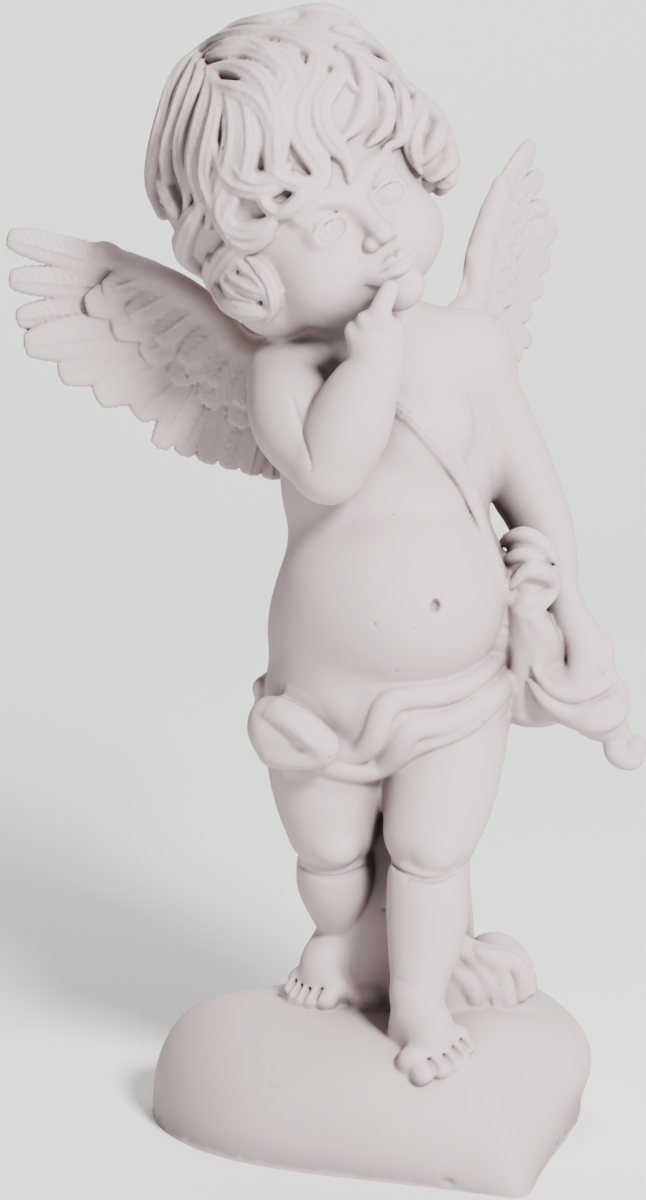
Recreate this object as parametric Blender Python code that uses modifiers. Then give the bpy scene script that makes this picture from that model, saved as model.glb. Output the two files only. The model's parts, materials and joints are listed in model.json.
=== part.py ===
"""A plaster cupid that stands on a heart, cast in one piece.

Run with: blender --background --python part.py

Sizes are written in millimetres and made into metres when a mesh is built. +X is to the right of someone
who faces the statue, +Y is behind it and +Z is up. The origin is on the underside of the base.
"""
import math

import bmesh
import bpy
import numpy as np
from mathutils import Matrix, Vector

MM = 0.001
NAME = "cupid_statue"

# Driving sizes, in millimetres
FIGURE_HEIGHT = 534.0   # from the crown of the base to the top of the hair
BASE_WIDTH = 236.0      # the heart, across its lobes
BASE_LENGTH = 243.0     # the heart, from its point to the back of its lobes
BASE_HEIGHT = 68.0      # the crown of the heart above the floor
BASE_ROUNDING = 62.0    # how far in from its rim the cushion reaches its full height
BASE_TURN = 27.5        # degrees that the heart's point is turned to the viewer's right

# How finely the clay is worked, in millimetres
CLAY_CELL = 2.0
FUSE_VOXEL = 2.0
TRIANGLES = 9700
LOCK_STRANDS = 2        # how many strands a lock of hair shows

SHARE = FIGURE_HEIGHT / 534   # the figure's landmarks below are in 534ths of its height
FAR = 1e3
BAND_MARGIN = 9.0
LIMB_MARGIN = 24.0
MISS_REACH = 14.0        # a line that misses the clay by less than this is drawn in to it
NORMAL_REACH = 3.0      # the way a surface faces is felt over this far to each side
BELOW_FLOOR = 5.0       # the clay goes on this far below the floor, and is cut off flat there


def turned(rx, ry, rz):
    """A rotation about X, then Z, then Y, in degrees."""
    about_x = Matrix.Rotation(math.radians(rx), 3, "X")
    about_y = Matrix.Rotation(math.radians(ry), 3, "Y")
    about_z = Matrix.Rotation(math.radians(rz), 3, "Z")
    return np.array(about_y @ about_z @ about_x)


class Frame:
    """A set of axes with an origin, in which a part of the figure is laid out."""

    def __init__(self, origin, turn, scale=1.0):
        self.origin = np.array(origin, float)
        self.turn = np.array(turn, float)
        self.scale = scale

    def out(self, points):
        """Points of this frame as points of the statue."""
        return self.origin + self.scale * (np.asarray(points, float) @ self.turn.T)

    def back(self, points):
        """Points of the statue as points of this frame."""
        return (np.asarray(points, float) - self.origin) @ self.turn / self.scale

    def child(self, origin, turn=None):
        turn = np.eye(3) if turn is None else turn
        return Frame(self.out(origin), self.turn @ turn, self.scale)


class Clay:
    """A grid of signed distances that rounded forms are pressed into, and that is then skinned."""

    def __init__(self, low, high, cell):
        self.low = np.array(low, np.float32)
        self.cell = cell
        size = np.ceil((np.array(high) - np.array(low)) / cell).astype(int) + 1
        self.depth = np.full(size, FAR, np.float32)

    def block(self, low, high, margin):
        """The part of the grid inside a box, and the coordinates of its points."""
        first = np.floor((np.array(low) - margin - self.low) / self.cell).astype(int)
        last = np.ceil((np.array(high) + margin - self.low) / self.cell).astype(int) + 1
        first, last = np.clip(first, 0, self.depth.shape), np.clip(last, 0, self.depth.shape)
        where = tuple(slice(a, b) for a, b in zip(first, last))
        axes = [self.low[i] + self.cell * np.arange(first[i], last[i], dtype=np.float32) for i in range(3)]
        return where, np.meshgrid(*axes, indexing="ij", sparse=True)

    def add(self, form, blend=6.0):
        """Presses a form on, with a fillet about as wide as blend."""
        low, high, distance = form
        where, points = self.block(low, high, 2 * blend + 2 * self.cell)
        new, old = distance(*points), self.depth[where]
        share = np.clip(0.5 + 0.5 * (old - new) / blend, 0, 1)
        self.depth[where] = old + (new - old) * share - blend * share * (1 - share)

    def cut(self, form, blend=2.0):
        """Cuts a form away, with a rounded edge."""
        low, high, distance = form
        where, points = self.block(low, high, 2 * blend + 2 * self.cell)
        new, old = -distance(*points), self.depth[where]
        share = np.clip(0.5 - 0.5 * (old - new) / blend, 0, 1)
        self.depth[where] = old + (new - old) * share + blend * share * (1 - share)

    def hit(self, start, way, furthest):
        """Where a straight line first meets the clay, or passes nearest to it, and how the clay faces there.

        The line is followed until it has come to y = furthest.
        """
        first = min((self.low[1] + self.cell * n - start[1]) / way[1] for n in (0, self.depth.shape[1] - 1))
        run = np.arange(first, (furthest - start[1]) / way[1], 0.4 * self.cell)
        cells = np.rint((start + run[:, None] * way - self.low) / self.cell).astype(int)
        reach = max(1, round(NORMAL_REACH / self.cell))
        cells = np.clip(cells, reach, np.array(self.depth.shape) - 1 - reach)
        depths = self.depth[tuple(cells.T)]
        solid = np.flatnonzero(depths < 0)
        n = solid[0] if len(solid) else int(np.argmin(depths))
        i, j, k = cells[n]
        normal = np.array([self.depth[i + reach, j, k] - self.depth[i - reach, j, k],
                           self.depth[i, j + reach, k] - self.depth[i, j - reach, k],
                           self.depth[i, j, k + reach] - self.depth[i, j, k - reach]], float)
        normal /= max(1e-6, np.linalg.norm(normal))
        return start + run[n] * way - max(0, min(depths[n], MISS_REACH)) * normal, normal

    def skin(self):
        """The surface as points and four-sided faces: one point in each cell that the surface passes through."""
        inside = self.depth < 0
        corners = [(i, j, k) for i in (0, 1) for j in (0, 1) for k in (0, 1)]
        cells = tuple(n - 1 for n in inside.shape)
        count = np.zeros(cells, np.int8)
        for i, j, k in corners:
            count += inside[i:i + cells[0], j:j + cells[1], k:k + cells[2]]
        place = np.argwhere((count > 0) & (count < 8))
        number = np.full(cells, -1, np.int64)
        number[tuple(place.T)] = np.arange(len(place))
        total, hits = np.zeros((len(place), 3)), np.zeros(len(place))
        for start in corners:
            for axis in range(3):
                if start[axis]:
                    continue
                end = list(start)
                end[axis] = 1
                a = self.depth[tuple((place + start).T)]
                b = self.depth[tuple((place + end).T)]
                crosses = (a < 0) != (b < 0)
                step = np.where(crosses, a / np.where(crosses, a - b, 1), 0)
                point = place + np.array(start, float)
                point[:, axis] += step
                total += point * crosses[:, None]
                hits += crosses
        points = self.low + self.cell * (total / hits[:, None])
        return points, self.faces(inside, number)

    @staticmethod
    def faces(inside, number):
        """A face across each grid edge that the surface cuts, turned so that it looks out."""
        made = []
        for axis in range(3):
            u, v = (axis + 1) % 3, (axis + 2) % 3
            near = inside.take(range(inside.shape[axis] - 1), axis)
            far = inside.take(range(1, inside.shape[axis]), axis)
            edges = np.argwhere(near != far)
            edges = edges[(edges[:, u] > 0) & (edges[:, v] > 0)]
            edges = edges[(edges[:, u] < number.shape[u]) & (edges[:, v] < number.shape[v])]
            ring = []
            for du, dv in ((1, 1), (0, 1), (0, 0), (1, 0)):
                cell = edges.copy()
                cell[:, u] -= du
                cell[:, v] -= dv
                ring.append(number[tuple(cell.T)])
            quads = np.stack(ring, 1)
            outward = near[tuple(edges.T)]
            quads[~outward] = quads[~outward][:, ::-1]
            made.append(quads)
        return np.concatenate(made)


def ellipsoid(centre, radii, frame, turn=None):
    """An ellipsoid laid out in a frame."""
    turn = np.eye(3) if turn is None else turn
    axes = (frame.turn @ turn).astype(np.float32)
    middle = frame.out(centre)
    r = np.array(radii, float) * frame.scale
    reach = np.sqrt(((axes * r) ** 2).sum(1))

    def distance(x, y, z):
        p = [x - middle[0], y - middle[1], z - middle[2]]
        q = [(axes[0, i] * p[0] + axes[1, i] * p[1] + axes[2, i] * p[2]) / r[i] for i in range(3)]
        whole = np.sqrt(q[0] ** 2 + q[1] ** 2 + q[2] ** 2)
        steep = np.sqrt((q[0] / r[0]) ** 2 + (q[1] / r[1]) ** 2 + (q[2] / r[2]) ** 2)
        return (whole * (whole - 1) / np.maximum(steep, 1e-6)).astype(np.float32)

    return middle - reach, middle + reach, distance


def ball(centre, radius, frame):
    return ellipsoid(centre, (radius, radius, radius), frame)


def limb(stations, frame):
    """A round form that runs smoothly through stations of (x, y, z, radius)."""
    rows = smooth_route(stations, 8) if len(stations) > 2 else np.array(stations, float)
    points = frame.out(rows[:, :3])
    radii = rows[:, 3] * frame.scale
    low = (points - radii[:, None]).min(0)
    high = (points + radii[:, None]).max(0)

    def distance(x, y, z):
        best = np.full((x.shape[0], y.shape[1], z.shape[2]), FAR, np.float32)
        for a, b, ra, rb in zip(points[:-1], points[1:], radii[:-1], radii[1:]):
            where = near_by(x, y, z, a, b, max(ra, rb) + LIMB_MARGIN)
            px, py, pz = x[where[0]] - a[0], y[:, where[1]] - a[1], z[:, :, where[2]] - a[2]
            run = b - a
            along = np.clip((px * run[0] + py * run[1] + pz * run[2]) / (run @ run), 0, 1)
            gap = np.sqrt((px - along * run[0]) ** 2 + (py - along * run[1]) ** 2 + (pz - along * run[2]) ** 2)
            best[where] = np.minimum(best[where], gap - (ra + (rb - ra) * along))
        return best

    return low, high, distance


def near_by(x, y, z, a, b, reach):
    """The part of a block that lies near the line from a to b."""
    low, high = np.minimum(a, b) - reach, np.maximum(a, b) + reach
    return tuple(slice(*np.searchsorted(axis.ravel(), (low[j], high[j]))) for j, axis in enumerate((x, y, z)))


def band(stations, facing, frame, relief=None):
    """A long form with an oval section, such as a lock, a feather or a fold.

    Each station is (x, y, z, half width, half thickness), and facing is the way its broad side looks.
    relief(along, across) is carved into the form: millimetres along it, and -1 to 1 across it.
    """
    rows = np.array(stations, float)
    points = frame.out(rows[:, :3])
    half = rows[:, 3:5] * frame.scale
    ways = np.gradient(points, axis=0)
    ways /= np.linalg.norm(ways, axis=1)[:, None]
    up = np.broadcast_to(np.asarray(facing, float), points.shape) @ frame.turn.T
    up = up - (up * ways).sum(1)[:, None] * ways
    up /= np.linalg.norm(up, axis=1)[:, None]
    side = np.cross(ways, up)
    reach = half.max(1)
    low = (points - reach[:, None]).min(0)
    high = (points + reach[:, None]).max(0)

    def distance(x, y, z):
        best = np.full((x.shape[0], y.shape[1], z.shape[2]), FAR, np.float32)
        travelled = 0.0
        for i in range(len(points) - 1):
            a, b = points[i], points[i + 1]
            length = np.linalg.norm(b - a)
            way = (b - a) / length
            where = near_by(x, y, z, a, b, max(reach[i], reach[i + 1]) + BAND_MARGIN)
            px = x[where[0]] - a[0]
            py = y[:, where[1]] - a[1]
            pz = z[:, :, where[2]] - a[2]
            along = px * way[0] + py * way[1] + pz * way[2]
            share = np.clip(along / length, 0, 1)
            beyond = along - share * length
            px, py, pz = (p - share * (length * way[j]) for j, p in enumerate((px, py, pz)))
            across, raised = 0, 0
            for end, part in ((i, 1 - share), (i + 1, share)):
                across = across + part * (px * side[end, 0] + py * side[end, 1] + pz * side[end, 2])
                raised = raised + part * (px * up[end, 0] + py * up[end, 1] + pz * up[end, 2])
            width = half[i, 0] + share * (half[i + 1, 0] - half[i, 0])
            height = half[i, 1] + share * (half[i + 1, 1] - half[i, 1])
            ratio = np.sqrt((across / width) ** 2 + (raised / height) ** 2 + (beyond / height) ** 2) + 1e-6
            gap = np.sqrt(across ** 2 + raised ** 2 + beyond ** 2) * (1 - 1 / ratio)
            if relief is not None:
                gap = gap + relief(travelled + along, np.clip(across / width, -1, 1)) * width / half[:, 0].max()
            best[where] = np.minimum(best[where], gap)
            travelled += length
        return best

    return low, high, distance


def strands(count, depth):
    """Grooves that part a lock or a fold lengthwise."""
    def relief(along, across):
        return depth * (0.5 + 0.5 * np.cos(math.pi * count * (across + 1))) ** 1.5
    return relief


def smooth_route(points, steps=4):
    """Points along a smooth curve through the given ones, which may carry further columns such as widths."""
    p = np.array(points, float)
    p = np.vstack([2 * p[0] - p[1], p, 2 * p[-1] - p[-2]])
    rows = []
    for i in range(1, len(p) - 2):
        for t in np.linspace(0, 1, steps, endpoint=False):
            rows.append(0.5 * (2 * p[i] + (p[i + 1] - p[i - 1]) * t
                               + (2 * p[i - 1] - 5 * p[i] + 4 * p[i + 1] - p[i + 2]) * t ** 2
                               + (3 * p[i] - p[i - 1] - 3 * p[i + 1] + p[i + 2]) * t ** 3))
    rows.append(p[-2])
    return np.array(rows)


# Where things are

FIGURE = Frame((0, 0, BASE_HEIGHT), np.eye(3), SHARE)
BODY_TURN = turned(0, 0, 20)          # the trunk faces a little to the viewer's right
HEAD = FIGURE.child((-28.5, -9.4, 425), turned(-2, -30, 26))
NEAR_WING = FIGURE.child((-40, 46, 350), np.array(((-1, 0, 0), (0, -1, 0), (0, 0, 1))).T)
FAR_WING = FIGURE.child((42, 46, 366), np.array(((0.505, 0.809, 0.30), (0.80, -0.57, 0.19),
                                                 (-0.321, -0.147, 0.936))).T)
FAR_WING_SHARE = 0.82
FLOOR = Frame((0, 0, 0), np.eye(3))
FIGURE_LOW = (-198, -128, 0)          # nothing of the figure goes beyond these two corners
FIGURE_HIGH = (152, 158, 552)
EYE = (-24.4, -2152.0, 679.0)         # folds and locks are laid on the front as they are seen from here,
BACK_EYE = (0.0, 2152.0, 300.0)       # and on the back from here


def seen(clay, x, z, eye=EYE, furthest=0.0):
    """The place on the clay that is met from an eye towards (x, 0, z) of the figure, and the way it faces."""
    start = FIGURE.out(eye)
    way = FIGURE.out((x, 0, z)) - start
    place, normal = clay.hit(start, way / np.linalg.norm(way), FIGURE.out((0, furthest, 0))[1])
    return FIGURE.back(place), normal


def evened(rows):
    """The rows with each one eased towards its neighbours."""
    rows = np.array(rows, float)
    for _ in range(2):
        rows[1:-1] = (rows[:-2] + 2 * rows[1:-1] + rows[2:]) / 4
    return rows


def laid(clay, route, width, height, rise=0.0, eye=EYE, tips=(1.0, 1.0), furthest=10.0):
    """Stations over the clay along a route of places (x, z), and the way each faces.

    The band that they make is scaled by tips at its two ends, and nothing is looked for beyond y = furthest.
    """
    found = [seen(clay, x, z, eye, furthest) for x, z in route]
    facing = evened([normal for _, normal in found])
    place = evened([point for point, _ in found]) + rise * facing
    share = np.linspace(0, 1, len(route))
    swell = np.interp(share, (0, 0.25, 0.7, 1), (tips[0], 1, 1, tips[1]))
    return np.column_stack([place, width * swell, height * (0.4 + 0.6 * swell)]), facing


def swept(x, z, length, headings, count=14):
    """A route of places (x, z) that starts off and turns through headings, in degrees, along its length."""
    middle = (np.arange(count - 1) + 0.5) / (count - 1)
    heading = np.radians(np.interp(middle, np.linspace(0, 1, len(headings)), headings))
    step = length / (count - 1)
    across = x + step * np.concatenate([[0], np.cumsum(np.cos(heading))])
    up = z + step * np.concatenate([[0], np.cumsum(np.sin(heading))])
    return np.column_stack([across, up])


# The figure

def trunk(clay):
    body = FIGURE
    clay.add(ellipsoid((9, 8, 176), (63, 52, 42), body, BODY_TURN), 1)
    clay.add(ellipsoid((9, 6, 290), (57, 44, 74), body, BODY_TURN), 16)
    clay.add(ellipsoid((13, -6, 228), (61, 57, 56), body, BODY_TURN), 10)
    clay.add(ellipsoid((16, -17, 230), (46, 49, 44), body, BODY_TURN), 10)
    clay.add(limb([(-36, -10, 338, 23), (8, 2, 346, 30), (50, 14, 347, 24)], body), 16)
    clay.add(ellipsoid((28, -28, 318), (24, 13, 20), body, BODY_TURN), 14)
    clay.add(limb([(0, 8, 345, 33), (-8, 4, 372, 30), (-16, 0, 395, 30)], body), 12)
    clay.add(ellipsoid((-11, 0, 206), (42, 42, 40), body), 12)
    for side in (-1, 1):
        clay.add(ellipsoid((9 + 24 * side, 32 + 8 * side, 168), (28, 26, 30), body), 8)


def legs(clay):
    body = FIGURE
    clay.add(limb([(-20, 2, 168, 33), (-23, 0, 140, 31), (-22, 0, 120, 28.5), (-19.5, 1, 101, 24.5)], body), 8)
    clay.add(limb([(-18, 6, 76, 20.5), (-18, 9, 68, 20.3), (-17.5, 13, 57, 16.8), (-16.5, 18, 46, 13),
                   (-16, 21, 40, 11.3)], body), 2.5)
    clay.add(limb([(40, 6, 166, 35), (38.5, -5, 138, 31.5), (36, -13, 119, 28.5), (32, -20, 103, 25)], body), 8)
    clay.add(limb([(29.5, -25, 78, 20.5), (30, -28, 70, 21.3), (30, -31, 59, 21.3), (28.5, -36, 45, 19),
                   (26, -41, 31, 15.5), (24.5, -44, 22, 14.5)], body), 2.5)
    clay.add(ellipsoid((34, -40, 97), (12, 8, 11), body), 3)
    clay.add(ellipsoid((-17, -17, 93), (12, 8, 10), body), 4)
    foot(clay, (-18, 21, 28), (-31, 11, 9), -1)
    foot(clay, (25, -45, 13), (37, -71, -2), 1)


def foot(clay, ankle, ball_of_foot, side):
    """A foot from its ankle to its five toes. side is 1 where the big toe is on the viewer's left."""
    body = FIGURE
    start, end = np.array(ankle, float), np.array(ball_of_foot, float)
    way = end - start
    way[2] = 0
    way /= np.linalg.norm(way)
    across = side * np.array((-way[1], way[0], 0))
    middle = (start + end) / 2
    heel = start - 7 * way
    clay.add(limb([(*start, 12.5), (*(middle + (0, 0, 1)), 11.5), (*end, 9)], body), 3)
    clay.add(limb([(heel[0], heel[1], end[2], 12), (*(middle - (0, 0, 3)), 12)], body), 4)
    clay.add(limb([(*(end - 7.5 * across), 8), (*(end + 8 * across - (0, 0, 1)), 6.5)], body), 4)
    for i in range(5):
        reach = 7.5 - 1.6 * abs(i - 0.6) ** 1.3
        thick = 5.6 if i == 0 else 4.3 - 0.3 * i
        root = end + across * (-9.5 + 5.4 * i + (0 if i else -1.5)) + way * (reach - 4) - (0, 0, 0.5)
        tip = root + way * 9 - (0, 0, 4.5 - thick / 2)
        clay.add(limb([(*root, thick - 0.3), (*(root + (tip - root) * 0.55 + (0, 0, 0.6)), thick - 0.6),
                       (*tip, thick)], body), 0.9)


def arms(clay):
    body = FIGURE
    clay.add(limb([(-38, -14, 340, 25), (-36, -38, 323, 25), (-22, -57, 306, 21)], body), 8)
    clay.add(limb([(-21, -58, 304, 21), (-12, -64, 324, 21.5), (-5, -68, 341, 18), (2, -70, 353, 14)], body), 1.5)
    clay.add(ellipsoid((2.4, -70, 366), (15, 12, 17), body), 3)
    for x, y, z in ((-8.5, -72, 373), (-3, -76, 378.5), (5, -77, 379.5), (11, -74, 374)):
        clay.add(ball((x, y, z), 5.4, body), 2.5)
    clay.add(limb([(1, -76, 378, 5.8), (5, -77, 387, 5.2), (8.5, -73, 394, 4.6)], body), 1.5)
    clay.add(limb([(48, 14, 345, 24), (62, 20, 318, 20), (75, 24, 293, 18.5), (82, 26, 275, 17.5)], body), 8)
    clay.add(limb([(83, 26, 272, 17.5), (90, 22, 257, 16.5), (95, 13, 240, 13.5), (97, 5, 228, 11)], body), 4)
    clay.add(limb([(98, 2, 225, 10.5), (104, -7, 214, 10), (111, -13, 203, 10), (111, -17, 190, 9),
                   (107, -17, 181, 8)], body), 2)


def head(clay):
    clay.add(ellipsoid((0, 12, 22), (60, 68, 62), HEAD), 8)
    clay.add(ellipsoid((0, -14, -22), (44, 40, 40), HEAD), 16)
    for side in (-1, 1):
        clay.add(ellipsoid((side * 23, -23, -28), (24, 27, 24), HEAD), 8)
    clay.add(ellipsoid((0, -44, -53), (13, 12, 10), HEAD), 7)
    clay.add(ellipsoid((0, -49, -38), (15, 9, 11), HEAD), 6)
    eyes(clay)
    nose(clay)
    mouth(clay)


EYE_PLACE = np.array((18.5, -42.0, -8.0))
EYE_RADIUS = 10.9
LID = 2.2


def eyes(clay):
    """Round eyeballs behind lids that are opened in the shape of an almond."""
    for side in (-1, 1):
        middle = EYE_PLACE * (side, 1, 1)
        clay.cut(ellipsoid((side * 19, -59, -6), (14, 9, 9), HEAD), 7)
        clay.add(ball(middle, EYE_RADIUS + LID, HEAD), 2.5)
        clay.cut(ellipsoid(middle + (side * 0.5, -12, -0.8), (9.4, 8, 5.0), HEAD, turned(0, side * 5, 0)), 0.6)
        clay.add(ball(middle, EYE_RADIUS, HEAD), 0.4)
        clay.add(limb([(side * 7, -53, 3, 3.2), (side * 17, -54, 8, 3.6), (side * 29, -47, 6, 3)], HEAD), 7)


def nose(clay):
    clay.add(limb([(0, -51, 0, 4.6), (0, -55.5, -12, 4.8), (0, -60.5, -22, 5.6)], HEAD), 6)
    for side in (-1, 1):
        clay.add(ball((side * 6.3, -56, -24.5), 4.0, HEAD), 2)


def mouth(clay):
    upper = [(-10.5, -52.8, -38.8, 1.2), (-6, -56.6, -37.4, 2.2), (-2.4, -58.6, -36.3, 2.7), (0, -58.6, -37, 2.5),
             (2.4, -58.6, -36.3, 2.7), (6, -56.6, -37.4, 2.2), (10.5, -52.8, -38.8, 1.2)]
    lower = [(-8.5, -54, -41, 1.3), (-4, -57, -42.6, 2.8), (0, -58, -43.2, 3.2), (4, -57, -42.6, 2.8),
             (8.5, -54, -41, 1.3)]
    clay.add(limb(upper, HEAD), 1.5)
    clay.add(limb(lower, HEAD), 1.5)
    clay.cut(limb([(-7, -57, -48, 1.8), (0, -59, -48.8, 2), (7, -57, -48, 1.8)], HEAD), 4)


# The hair

HAIR_CENTRE = np.array((10.0, 15.0, 28.0))
HAIR_RADII = np.array((63.0, 62.0, 65.0))
WHORL = turned(0, -8, 0) @ turned(4, 0, 0)

# Locks as they are seen from the front: where each starts, its length, the ways it heads and its half width
FRONT_LOCKS = [
    (-87, 504, 64, (-135, -107, -108, -100), 7.0), (-86, 500, 72, (-118, -106, -111, -86, -106), 6.5),
    (-84, 497, 74, (-101, -108, -101, -72, -108), 6.5), (-80, 493, 74, (-88, -107, -102, -72, -107), 6.5),
    (-78, 490, 74, (-67, -106, -104, -70, -114), 6.5), (-72, 483, 60, (-65, -94, -117, -69), 7.0),
    (-64, 480, 50, (-65, -102, -117), 6.5), (-79, 487, 50, (-18, -15, -70, -104), 6.5),
    (-80, 494, 88, (18, -21, -69, -94, -90, -119), 7.5), (-82, 501, 48, (31, 4, -38, -96), 6.5),
    (-45, 510, 72, (-42, -107, -120, -86, -62), 7.0), (-86, 505, 84, (24, 8, -13, -30, -63), 7.0),
    (-86, 509, 92, (30, 10, 14, 5, -110), 8.0), (-18, 515, 56, (-8, -35, -45, -66), 7.0),
    (-16, 506, 66, (-33, -27, -35, -67), 7.0), (-33, 511, 114, (-35, -101, -130, -75, -45, -108, -159), 7.5),
    (-17, 500, 66, (-77, -141, -72, -45, -90), 6.5), (-9, 499, 40, (-54, -100, -142), 6.5),
    (-2, 492, 38, (-42, -90, -139), 5.8), (9, 489, 38, (-51, -90, -144), 5.8),
    (20, 485, 40, (-62, -108, -58), 6.0), (28, 485, 38, (-54, -95, -135), 6.0),
    (36, 470, 32, (-59, -99, -153), 5.5), (39, 455, 20, (-90, -120), 4.8),
    (-104, 443, 24, (-76, -55), 6.0), (-71, 437, 52, (-138, -81, -25, 25, 95), 7.5),
    (-83, 429, 46, (-138, -99, -36), 7.0), (-68, 431, 40, (-135, -80, -15, 40), 6.5),
    (-59, 412, 58, (-166, -121, -55, 11), 7.0), (-63, 407, 36, (-150, -85, -10), 6.0),
    (-81, 399, 48, (-94, -39, 19), 6.8), (-61, 401, 38, (-30, -45, -158), 5.8),
    (-77, 457, 46, (-82, -50, -10, 30), 6.5), (-69, 452, 34, (-72, -34, 12, 60), 5.5),
    (-55, 442, 50, (-105, -61, 6, 69, 146), 4.6),
]


def scalp(polar, heading, lift):
    """A point over the head and its normal: polar is the angle from the whorl, heading is 0 at the face."""
    way = WHORL @ np.array((math.sin(polar) * math.sin(heading), -math.sin(polar) * math.cos(heading),
                            math.cos(polar)))
    point = HAIR_CENTRE + HAIR_RADII * way
    normal = way / HAIR_RADII
    normal /= np.linalg.norm(normal)
    return point + lift * normal, normal


def lock(clay, heading, start, length, width, wave=0.35, phase=0.0, curl=0.0, lift=0.0, blend=1.2):
    """A lock of hair that flows down from the whorl in waves and may end in a curl. Angles are in degrees."""
    steps = max(10, int(length / 5))
    step = length / steps
    polar, turn = math.radians(start), math.radians(heading)
    stations, facing = [], []
    for i in range(steps + 1):
        t = i / steps
        rise = lift + 2.5 * math.sin(math.pi * min(1, t * 1.15)) - 2.0 * (1 - t) ** 3
        point, normal = scalp(polar, turn, rise)
        swell = 0.55 + 0.45 * math.sin(math.pi * min(1, 0.15 + t))
        taper = 1 - 0.45 * max(0, t - 0.7) / 0.3
        stations.append((*point, width * swell * taper, 5.5 * (0.7 + 0.3 * swell) * taper))
        facing.append(normal)
        bend = wave * math.cos(2 * math.pi * i * step / 58 + phase)
        bend += math.radians(curl) * max(0, (t - 0.55) / 0.45) ** 1.6
        polar += step / 70 * math.cos(bend)
        turn += step / 70 * math.sin(bend) / max(0.35, math.sin(polar))
    clay.add(band(stations, np.array(facing), HEAD, strands(LOCK_STRANDS, 1.3)), blend)


def curl(clay, polar, heading, size, hand, width=4.5, tall=5.0):
    """A snail of hair that stands out from the head. Angles are in degrees, and hand is the way it winds."""
    middle, normal = scalp(math.radians(polar), math.radians(heading), 0)
    side = np.cross(normal, (0, 0, 1))
    side /= np.linalg.norm(side)
    up = np.cross(side, normal)
    stations = []
    for i in range(19):
        t = i / 18
        angle = hand * 2 * math.pi * 1.35 * t + 0.8
        reach = size * (1 - 0.8 * t)
        place = middle + reach * (math.cos(angle) * side + math.sin(angle) * up) + (tall * t - 1) * normal
        stations.append((*place, width, tall))
    clay.add(band(stations, normal, HEAD, strands(2, 1.0)), 1.2)


def hair(clay):
    """A cap of hair with locks that flow from the whorl, curls round its rim and ringlets at the near cheek."""
    clay.add(ellipsoid(HAIR_CENTRE, HAIR_RADII, HEAD), 3)
    clay.add(ellipsoid((6, -8, 46), (56, 56, 41), HEAD), 3)
    clay.add(ellipsoid((40, -4, 62), (28, 28, 26), HEAD), 8)
    clay.add(ellipsoid((-42, 4, -22), (20, 26, 24), HEAD), 6)
    clay.add(ellipsoid((56, -12, 8), (16, 25, 31), HEAD), 6)
    for i in range(26):
        heading = 84 + (284 - 84) * i / 25
        length = 132 + 10 * math.sin(2.3 * i)
        lock(clay, heading, 40, length, 9.5, 0.45, 1.9 * i, 80 * (-1) ** i, -0.5)
    for i in range(24):
        heading = -76 + 352 * i / 23
        lock(clay, heading, 10, 74 + 8 * math.sin(2.9 * i), 10, 0.5, 2.4 * i + 1, 60 * (-1) ** i, 1.5)
    rows = [laid(clay, swept(*row[:4], 24), row[4], 5.5, 1.0, tips=(0.5, 0.35), furthest=30)
            for row in FRONT_LOCKS]
    for i in range(7):
        curl(clay, 122 + 5 * (i % 2), 118 + 21 * i, 11, (-1) ** i, 5.0)
    for stations, facing in rows:
        clay.add(band(stations, facing, FIGURE, strands(LOCK_STRANDS, 1.4)), 1.0)


# The wings

def barbs(depth):
    """A shaft along the middle of a feather, and barbs that slant away from it."""
    def relief(along, across):
        shaft = np.clip(1 - np.abs(across) / 0.16, 0, 1)
        slant = (along - 9 * np.abs(across)) / 4.2
        return depth * (0.5 - 0.5 * np.cos(2 * math.pi * slant)) * (1 - shaft) - 1.3 * depth * shaft
    return relief


def feather(clay, wing, base, angle, length, width, thick, layer, blend=1.0, relief=None):
    """A rounded feather. base is (out, up) on the wing, and layer is how far it stands before the wing's middle."""
    out, up = math.cos(math.radians(angle)), math.sin(math.radians(angle))
    stations = []
    for t in (0, 0.2, 0.4, 0.6, 0.75, 0.85, 0.92, 0.97, 1.0):
        reach = t * (length - thick)
        left = (length - reach) / (1.5 * width)
        swell = width * (0.8 + 0.2 * math.sin(math.pi * t)) * math.sqrt(1 - max(0, 1 - left) ** 2)
        stations.append((base[0] + out * reach, layer, base[1] + up * reach, max(swell, thick), thick))
    clay.add(band(stations, (0, 1, 0), wing, relief), blend)


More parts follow.
